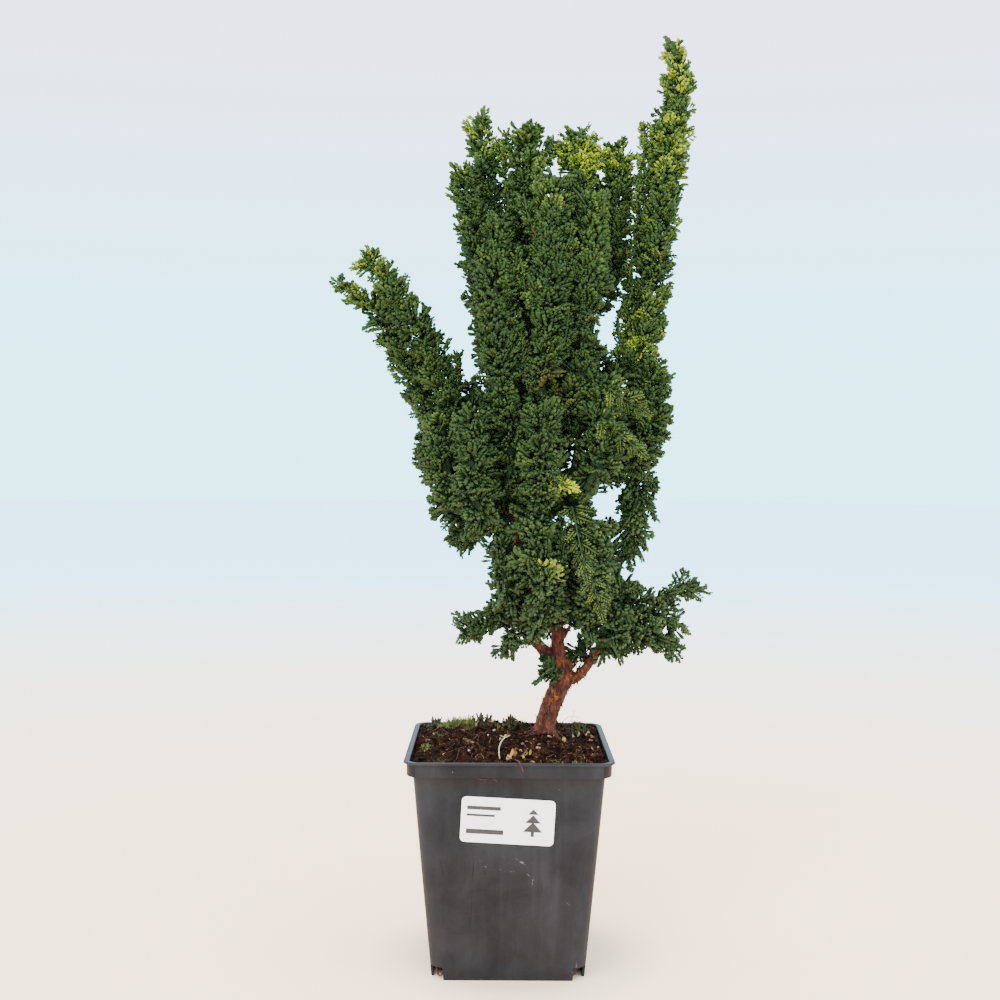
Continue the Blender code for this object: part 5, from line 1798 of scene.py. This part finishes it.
    def litter(self) -> None:
        """Scatter chips of peat and bark, and root fibres."""
        draw = Random(self.seed)
        bm = bmesh.new()
        shades: list[float] = []
        for _ in range(self.chips):
            place = self.place(draw)
            size = 0.5 + 1.3 * draw.random() ** 2.2
            made = bmesh.ops.create_cube(bm, size=1.3 * size)["verts"]
            turn = Matrix.Rotation(draw.uniform(0, tau), 3, Vector((draw.random(), draw.random(), 1.0)))
            stretch = Vector((draw.uniform(0.6, 2.0), draw.uniform(0.4, 0.9), draw.uniform(0.3, 0.6)))
            shade = draw.uniform(-0.30, 0.22) + (draw.uniform(0.25, 0.6) if draw.random() < 0.13 else 0.0)
            for vert in made:
                bent = Vector(a * b for a, b in zip(vert.co, stretch)) * draw.uniform(0.8, 1.2)
                vert.co = place + turn @ bent + UP * size * 0.15
                shades.append(shade)
        for _ in range(self.fibres):
            shade = draw.uniform(-0.15, 0.45)
            shades.extend([shade] * self.add_fibre(bm, draw))
        piece = piece_from("soil_litter", bm, PeatFinish("peat_litter").material())
        store(piece.data, "shade", np.array(shades, np.float32))
        settle(piece, Slot.PEAT)

    def add_fibre(self, bm: Shape, draw: Random) -> int:
        """Add one root fibre that lies along the ground.

        Args:
            bm: The shape so far.
            draw: Seeded random numbers.

        Returns:
            How many vertices it has.
        """
        place = self.place(draw, 8.0)
        heading = draw.uniform(0, tau)
        length = draw.uniform(4.0, 12.0)
        radius = draw.uniform(0.12, 0.30)
        bend = draw.uniform(-1.2, 1.2)
        lift = draw.uniform(0.2, 1.8)
        points = []
        for step in range(7):
            share = step / 6
            angle = heading + bend * share
            x = self.within(place.x + cos(angle) * length * share, 1.0)
            y = self.within(place.y + sin(angle) * length * share, 1.0)
            z = ground_height(x, y) + lift * sin(pi * share) + 0.1
            points.append((x, y, z, radius * (1.0 - 0.6 * share)))
        return add_tube(bm, points, 4)

    def cushion_piece(self, name: str, table: Rows, finish: PlainFinish, draw: Random) -> None:
        """Raise one colour of moss, blade by blade.

        Args:
            name: The piece's name.
            table: Its cushions.
            finish: Its colours.
            draw: Seeded random numbers.
        """
        bm = bmesh.new()
        for x, y, radius, blades, length in table:
            for _ in range(int(blades)):
                away = radius * sqrt(draw.random())
                angle = draw.uniform(0, tau)
                px = self.within(x + away * cos(angle), 1.5)
                py = self.within(y + away * sin(angle), 1.5)
                tall = length * draw.uniform(0.35, 1.1) * (1.0 - 0.45 * away / radius)
                lean = Vector((draw.uniform(-0.7, 0.7), draw.uniform(-0.7, 0.7), 1.0)).normalized()
                made = bmesh.ops.create_cone(bm, cap_ends=True, segments=3, radius1=draw.uniform(0.3, 0.6),
                                             radius2=0.08, depth=tall)["verts"]
                turn = lean.to_track_quat("Z", "Y").to_matrix().to_4x4()
                base = Vector((px, py, ground_height(px, py) - 0.6))
                place = Matrix.Translation(base + lean * tall / 2) @ turn
                bmesh.ops.transform(bm, matrix=place, verts=made)
        settle(piece_from(name, bm, finish.material()), Slot.FOLIAGE)

    def dark_tufts(self, draw: Random) -> None:
        """Raise the dark tufts of curled, dead moss at the back.

        Args:
            draw: Seeded random numbers.
        """
        bm = bmesh.new()
        for x, y, tall in self.curls:
            for _ in range(self.curls_per_tuft):
                angle = draw.uniform(0, tau)
                root = Vector((x + draw.uniform(-2.5, 2.5), y + draw.uniform(-2.5, 2.5), 0.0))
                root.y = min(root.y, self.half - 1.5)
                root.z = ground_height(root.x, root.y) - 0.5
                rise = tall * draw.uniform(0.5, 1.0)
                lean = Vector((cos(angle), sin(angle), 0.0)) * rise * 0.35
                curl = lean * 0.9 + UP * rise * 0.75
                points = [(*root, 0.75), (*(root + lean * 0.4 + UP * rise * 0.6), 0.7),
                          (*(root + lean + UP * rise), 0.65), (*(root + curl * 1.25), 0.5)]
                add_tube(bm, points, 4)
        finish = PlainFinish("dead_moss", (0.010, 0.006, 0.003), (0.055, 0.040, 0.015), 0.9, 400.0)
        settle(piece_from("dark_tufts", bm, finish.material()), Slot.FOLIAGE)

    def finds(self, draw: Random) -> None:
        """Lay the grit, the fallen leaves, the seedling and the red roots.

        Args:
            draw: Seeded random numbers.
        """
        bm = bmesh.new()
        for x, y, size in self.grit:
            made = bmesh.ops.create_icosphere(bm, subdivisions=1, radius=size)["verts"]
            stretch = Vector((draw.uniform(0.7, 1.3), draw.uniform(0.5, 0.9), draw.uniform(0.4, 0.8)))
            for vert in made:
                bent = Vector(a * b for a, b in zip(vert.co, stretch)) * draw.uniform(0.55, 1.1)
                vert.co = bent + Vector((x, y, ground_height(x, y) + 0.3 * size))
        pale = PlainFinish("pale_grit", (0.16, 0.13, 0.09), (0.58, 0.52, 0.41), 0.85, 700.0)
        settle(piece_from("pale_grit", bm, pale.material()), Slot.PEAT)
        orange = PlainFinish("fallen_leaf", (0.30, 0.10, 0.015), (0.50, 0.25, 0.055), 0.7, 500.0)
        lime = PlainFinish("young_leaf", (0.10, 0.115, 0.018), (0.30, 0.28, 0.075), 0.7, 500.0)
        for name, table, finish in (("orange_leaves", self.orange_leaves, orange),
                                   ("green_leaves", self.green_leaves, lime)):
            bm = bmesh.new()
            for x, y, heading, pitch, length, width, curl in table:
                root = Vector((x, y, ground_height(x, y) + 0.3))
                add_blade(bm, root, radians(heading), radians(pitch), length, width, curl)
            if name == "green_leaves":
                for heading in self.stalk_leaves:
                    add_blade(bm, Vector((-2.4, -39, 131.6)), radians(heading), 0.15, 3.4, 1.5, 0.5)
            settle(piece_from(name, bm, finish.material()), Slot.FOLIAGE)
        bm = bmesh.new()
        add_tube(bm, soft_tube(self.stalk, 1.0), 6)
        stalk = PlainFinish("pale_stalk", (0.36, 0.37, 0.27), (0.55, 0.55, 0.45), 0.6)
        settle(piece_from("seedling_stalk", bm, stalk.material()), Slot.FOLIAGE)
        bm = bmesh.new()
        for points in self.strands:
            add_tube(bm, soft_tube(points, 1.0), 4)
        for number in range(self.trunk_roots):
            self.add_trunk_root(bm, tau * number / self.trunk_roots + draw.uniform(-0.2, 0.2), draw)
        red = PlainFinish("red_root", (0.022, 0.007, 0.004), (0.105, 0.026, 0.012), 0.85, 500.0)
        settle(piece_from("red_roots", bm, red.material()), Slot.BARK)

    def add_trunk_root(self, bm: Shape, heading: float, draw: Random) -> None:
        """Add one thin root that runs out from the trunk's foot along the soil.

        Args:
            bm: The shape so far.
            heading: Its direction in radians.
            draw: Seeded random numbers.
        """
        reach = draw.uniform(5.0, 15.0)
        bend = draw.uniform(-0.8, 0.8)
        points = []
        for step in range(7):
            share = step / 6
            angle = heading + bend * share
            away = self.root_start + reach * share
            x = self.within(TRUNK_FOOT.x + cos(angle) * away, 2.0)
            y = self.within(TRUNK_FOOT.y + sin(angle) * away, 2.0)
            lift = 3.0 * (1.0 - share) ** 3 + draw.uniform(0.0, 0.5)
            points.append((x, y, ground_height(x, y) + lift, 0.42 - 0.30 * share))
        add_tube(bm, points, 4)

    def build(self) -> None:
        """Build the bed and all that lies on it."""
        draw = Random(self.seed + 1)
        self.bed()
        self.litter()
        fresh = PlainFinish("fresh_moss", (0.030, 0.048, 0.007), (0.16, 0.17, 0.022), 0.8, 260.0)
        dark = PlainFinish("dark_moss", (0.012, 0.020, 0.005), (0.070, 0.075, 0.016), 0.85, 260.0)
        self.cushion_piece("fresh_moss", self.fresh_cushions, fresh, draw)
        self.cushion_piece("dark_moss", self.dark_cushions, dark, draw)
        self.dark_tufts(draw)
        self.finds(draw)


@dataclass
class NurseryPot:
    """The moulded pot: a stepped rim with a thin lip, a tapered body and four straight feet."""

    corner_steps: int = 10
    wall_steps: int = 12
    foot_half: float = 35.0
    notch_height: float = 7.2
    drain_offset: float = 27.0
    drain_radius: float = 4.0
    body_rings: tuple[float, ...] = (104, 96, 86, 74, 62, 50, 38, 26, 16, 9.5, 8.5, 0.4)

    def outline(self, half: float, radius: float, z: float) -> list[Vector]:
        """Return points round a rounded square, with points along its flats for a slight bow.

        Args:
            half: Its half width.
            radius: Its corners' radius.
            z: Its height.

        Returns:
            The points.
        """
        points = []
        for corner in range(4):
            turn = Matrix.Rotation(radians(90 * corner), 3, "Z")
            centre = Vector((half - radius, half - radius, z))
            for step in range(self.corner_steps + 1):
                angle = radians(90) * step / self.corner_steps
                points.append(turn @ (centre + Vector((cos(angle), sin(angle), 0.0)) * radius))
            start = turn @ Vector((half - radius, half, z))
            end = turn @ Vector((radius - half, half, z))
            for step in range(1, self.wall_steps):
                points.append(start.lerp(end, step / self.wall_steps))
        return points

    def profile(self) -> list[tuple[float, float, float]]:
        """Return the rings from the floor's middle, up the inside, over the lip and down the outside.

        Returns:
            Half width, corner radius and height of each.
        """
        inner, outer = CORNER_RADIUS - WALL, CORNER_RADIUS
        floor, skirt = body_half(FLOOR_TOP) - WALL, body_half(7.0) - WALL
        hollow, ledge, foot = BAND_HALF - WALL, BODY_TOP + WALL, body_half(0)
        return [
            (floor - 2.0, inner, FLOOR_TOP), (floor, inner, FLOOR_TOP + 1.2),
            *((body_half(z) - WALL, inner, z) for z in (60.0, ledge)),
            (hollow, inner, ledge + 0.4), (hollow, inner, POT_TOP - 0.4),
            (hollow + 0.5, inner + 0.4, POT_TOP), (LIP_HALF - 0.5, outer, POT_TOP - 0.05),
            (LIP_HALF, outer, POT_TOP - 0.35),
            (LIP_HALF, outer, POT_TOP - 0.9), (LIP_HALF - 0.35, outer, POT_TOP - 1.2),
            (BAND_HALF + 0.3, outer, POT_TOP - 1.5), (BAND_HALF + 0.1, outer, POT_TOP - 2.4),
            (BAND_HALF, outer, BODY_TOP + 0.8), (BAND_HALF - 0.25, outer, BODY_TOP + 0.2),
            (BAND_HALF - 0.9, outer, BODY_TOP), (SHOULDER_HALF + 0.5, outer, BODY_TOP + 0.05),
            (SHOULDER_HALF, outer, BODY_TOP - 0.6),
            *((body_half(z), outer, z) for z in self.body_rings),
            (foot - 0.3, outer - 0.3, 0.0), (foot - WALL + 0.3, inner, 0.05), (foot - WALL, inner, 0.4),
            (skirt, inner, 7.0), (skirt - 0.8, inner, FLOOR_UNDERSIDE),
        ]

    def build(self) -> None:
        """Build the pot as one piece that replaces its node."""
        bm = bmesh.new()
        before: list[bmesh.types.BMEdge] = []
        for half, radius, z in self.profile():
            loop = [bm.verts.new(point) for point in self.outline(half, radius, z)]
            edges = [bm.edges.new((a, b)) for a, b in zip(loop, loop[1:] + loop[:1])]
            if before:
                bmesh.ops.bridge_loops(bm, edges=before + edges)
            before = edges
        bmesh.ops.holes_fill(bm, edges=[edge for edge in bm.edges if edge.is_boundary])
        bmesh.ops.recalc_face_normals(bm, faces=bm.faces)
        for vert in bm.verts:
            self.bow(vert.co)
        pot = piece_from("nursery_pot", bm, PlasticFinish().material())
        for side_x in (-1, 1):
            for side_y in (-1, 1):
                self.cut_corner(pot, side_x, side_y)
        painted_lightness = np.array([self.painted_lightness(GROWTH_TO_FRAME.inverted() @ vert.co) for vert in pot.data.vertices])
        pot.data.shade_smooth()
        pot.data.set_sharp_from_angle(angle=radians(38))
        store(pot.data, "painted_lightness", painted_lightness)
        settle(pot, Slot.PLASTIC, "pot")

    @staticmethod
    def bow(co: Vector) -> None:
        """Give the thin walls the slight bow that the full pot has.

        Args:
            co: A point of the wall, which is moved.
        """
        if 9.5 < co.z < BODY_TOP - 1.0:
            swell = 0.5 * sin(pi * (co.z - 9.5) / (BODY_TOP - 10.5))
            half = body_half(co.z)
            if abs(co.x) >= abs(co.y):
                co.x += copysign(swell * (1.0 - min(1.0, abs(co.y) / half) ** 2), co.x)
            else:
                co.y += copysign(swell * (1.0 - min(1.0, abs(co.x) / half) ** 2), co.y)

    def cut_corner(self, pot: Piece, side_x: int, side_y: int) -> None:
        """Cut one corner's notch and drain hole.

        Args:
            pot: The pot.
            side_x: The corner's side, -1 or 1.
            side_y: The same, in depth.
        """
        for shape in ("notch", "drain"):
            bm = bmesh.new()
            if shape == "notch":
                width, height = BASE_HALF - self.foot_half + 6.0, self.notch_height + 5.0
                bmesh.ops.create_cube(bm, size=1.0)
                bmesh.ops.scale(bm, vec=(width, width, height), verts=bm.verts)
                offset, level = self.foot_half + width / 2, self.notch_height - height / 2
            else:
                bmesh.ops.create_cone(bm, cap_ends=True, segments=24, radius1=self.drain_radius,
                                      radius2=self.drain_radius, depth=12.0)
                offset, level = self.drain_offset, FLOOR_TOP
            bmesh.ops.translate(bm, vec=(side_x * offset, side_y * offset, level), verts=bm.verts)
            cutter = piece_from("cutter", bm, pot.data.materials[0])
            modified(pot, "BOOLEAN", operation="DIFFERENCE", solver="EXACT", object=cutter)
            bpy.data.objects.remove(cutter, do_unlink=True)

    @staticmethod
    def painted_lightness(co: Vector) -> float:
        """Return how much lighter a point of the pot is painted, in growth millimetres: painted shade inside
        the rim, painted highlights on the lip's edge and the corners, and lighter towards the foot.

        Args:
            co: The point.

        Returns:
            How much lighter it is painted, below 0 for the painted shade.
        """
        far = max(abs(co.x), abs(co.y))
        # Painted shade on the inside of the rim.
        if co.z > BODY_TOP and far < BAND_HALF - 0.6:
            return -0.8
        # Painted highlights along the lip's edge and on the corners, and lighter towards the foot.
        edge = 0.24 * blend(POT_TOP - 3.5, POT_TOP - 0.5, co.z) * blend(LIP_HALF - 1.5, LIP_HALF - 0.3, far)
        corner = min(abs(co.x), abs(co.y)) / max(body_half(co.z), 1.0)
        return edge + 0.10 * blend(0.72, 0.9, corner) + 0.10 * blend(14.0, 1.0, co.z)


@dataclass
class Label:
    """The sticker's paper, and the plain marks on it."""

    middle: tuple[float, float] = (-0.7, 89.2)
    turn: float = -2.9
    paper_lift: float = 0.6
    ink_lift: float = 0.06
    # Plain bars: x, y, width and height
    bars: Rows = rows("-13 6.6 18 2, -14.5 2.6 15 1.2, -12 -6.4 20 2.6")
    # The small tree: where it stands, its tiers' heights and widths, and its stem
    tree_x: float = 13.5
    tiers: Rows = rows("-3.4 12, 1.2 9.6, 5.4 6.4")
    stem: tuple[float, float, float] = (-6.3, 1.8, 3.0)

    def build(self) -> None:
        """Give the label's node its paper and print plain bars and a small tree on it."""
        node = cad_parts["label"]
        node.data.materials.clear()
        node.data.materials.append(PaperFinish().material())
        bm = bmesh.new()
        for x, y, width, height in self.bars:
            self.set_mark(bm, bmesh.ops.create_cube(bm, size=1.0)["verts"], (width, height, 0.05), x, y)
        for y, width in self.tiers:
            tier = bmesh.ops.create_cone(bm, cap_ends=True, segments=3, radius1=width / 2, radius2=width / 2,
                                         depth=0.05)["verts"]
            self.set_mark(bm, tier, (1.0, 0.62, 1.0), self.tree_x, y)
        stem = bmesh.ops.create_cube(bm, size=1.0)["verts"]
        self.set_mark(bm, stem, (*self.stem[1:], 0.05), self.tree_x, self.stem[0])
        slope = atan2(SHOULDER_HALF - BASE_HALF, BODY_TOP)
        normal = Vector((0.0, -cos(slope), -sin(slope)))
        x, z = self.middle
        centre = Vector((x, -body_half(z), z)) + normal * (self.paper_lift + self.ink_lift)
        bm.transform(Matrix.Translation(centre) @ Matrix.Rotation(radians(90) + slope, 4, "X")
                     @ Matrix.Rotation(radians(self.turn), 4, "Z"))
        ink = PlainFinish("label_ink", (0.012, 0.012, 0.013), (0.024, 0.023, 0.024), 0.6)
        settle(piece_from("label_marks", bm, ink.material()), Slot.PAPER)

    @staticmethod
    def set_mark(bm: Shape, verts: list[bmesh.types.BMVert], size: Colour, x: float, y: float) -> None:
        """Scale a new mark and move it to its place."""
        bmesh.ops.scale(bm, vec=size, verts=verts)
        bmesh.ops.translate(bm, vec=(x, y, 0.0), verts=verts)


@dataclass(frozen=True)
class Studio:
    """A plain pale floor, soft light and the photograph's view."""

    lens: float = 47.6
    camera_place: Colour = (-5.77, -749.06, 280.1)
    pitch: float = 0.0283
    roll: float = 0.0057
    sky_strength: float = 5.2
    sky_stops: Stops = ((0.0, (0.36, 0.82, 1.0)), (0.12, (0.36, 0.80, 1.0)), (0.30, (0.61, 0.61, 0.82)),
                        (0.5, (0.64, 0.62, 0.64)), (1.0, (0.58, 0.56, 0.56)))
    floor_near: Colour = (0.95, 0.76, 0.56)
    floor_far: Colour = (0.54, 0.90, 0.98)
    glow_near: Colour = (1.1, 0.62, 0.36)
    glow_far: Colour = (0.15, 1.1, 1.9)
    # Each lamp's name, place, size and power
    lamps: tuple[tuple[str, Colour, float, float], ...] = (
        ("key", (-0.7, -1.5, 1.9), 1.2, 44.0), ("fill", (1.4, -0.9, 1.2), 1.8, 11.0),
        ("back", (0.3, 1.6, 1.6), 1.8, 10.0))

    def build(self) -> None:
        """Set the floor, the lights, the sky and the camera."""
        self.floor()
        for lamp in self.lamps:
            self.light(*lamp)
        world = bpy.context.scene.world or bpy.data.worlds.new("studio")
        bpy.context.scene.world = world
        world.use_nodes = True
        nodes = world.node_tree.nodes
        links = world.node_tree.links
        sky = nodes["Background"]
        sky.inputs["Strength"].default_value = self.sky_strength
        height = nodes.new("ShaderNodeSeparateXYZ")
        shade = nodes.new("ShaderNodeValToRGB")
        links.new(nodes.new("ShaderNodeTexCoord").outputs["Generated"], height.inputs[0])
        links.new(height.outputs["Z"], shade.inputs["Fac"])
        links.new(shade.outputs["Color"], sky.inputs["Color"])
        set_stops(shade.color_ramp, self.sky_stops)
        self.camera()

    def floor(self) -> None:
        """Lay the floor, a wide plain disc."""
        bm = bmesh.new()
        bmesh.ops.create_circle(bm, cap_ends=True, segments=96, radius=9000.0)
        sheet = Sheet("studio_floor")
        away = sheet.distance(sheet.place)
        share = sheet.math("ADD", sheet.span(away, 0.4, 2.6), sheet.span(sheet.noise(3.0), 0, 1, -0.02, 0.02))
        glow = sheet.mix(share, self.glow_near, self.glow_far)
        # No glow under the pot and just around it, so the floor is darker there: painted shade under the pot.
        under = sheet.span(away, 0.052, 0.085)
        sheet.plug(sheet.shader.inputs["Emission Color"], sheet.mix(under, (0.0, 0.0, 0.0), glow))
        colour = sheet.mix(share, self.floor_near, self.floor_far)
        material = sheet.finish(colour, 0.8, Specular_IOR_Level=0.1, Emission_Strength=1.0)
        piece_from("floor", bm, material)

    @staticmethod
    def light(name: str, place: Colour, size: float, power: float) -> None:
        """Hang one soft area light that faces the tree.

        Args:
            name: Its name.
            place: Where it hangs.
            size: Its width.
            power: In watts.
        """
        data = bpy.data.lights.new(name, "AREA")
        data.energy = power
        data.size = size
        lamp = bpy.data.objects.new(name, data)
        lamp.location = place
        lamp.rotation_euler = (Vector((0.0, 0.0, 0.26)) - lamp.location).to_track_quat("-Z", "Y").to_euler()
        link(lamp)

    def camera(self) -> None:
        """Set the camera where the photograph was taken from."""
        data = bpy.data.cameras.new("view")
        data.lens = self.lens
        data.clip_start = 0.01
        camera = bpy.data.objects.new("view", data)
        turn = Matrix.Rotation(radians(90) - self.pitch, 4, "X") @ Matrix.Rotation(self.roll, 4, "Z")
        camera.matrix_world = Matrix.Translation(GROWTH_TO_FRAME @ Vector(self.camera_place)) @ turn
        link(camera)
        bpy.context.scene.camera = camera


def main() -> None:
    """Build every part in order."""
    logging.basicConfig(level=logging.INFO, format="%(message)s")
    for part in (Studio(), NurseryPot(), SoilBed(), Trunk(), Canopy(), Label()):
        part.build()
        LOG.info("%s is built", type(part).__name__)


if __name__ == "__main__":
    main()
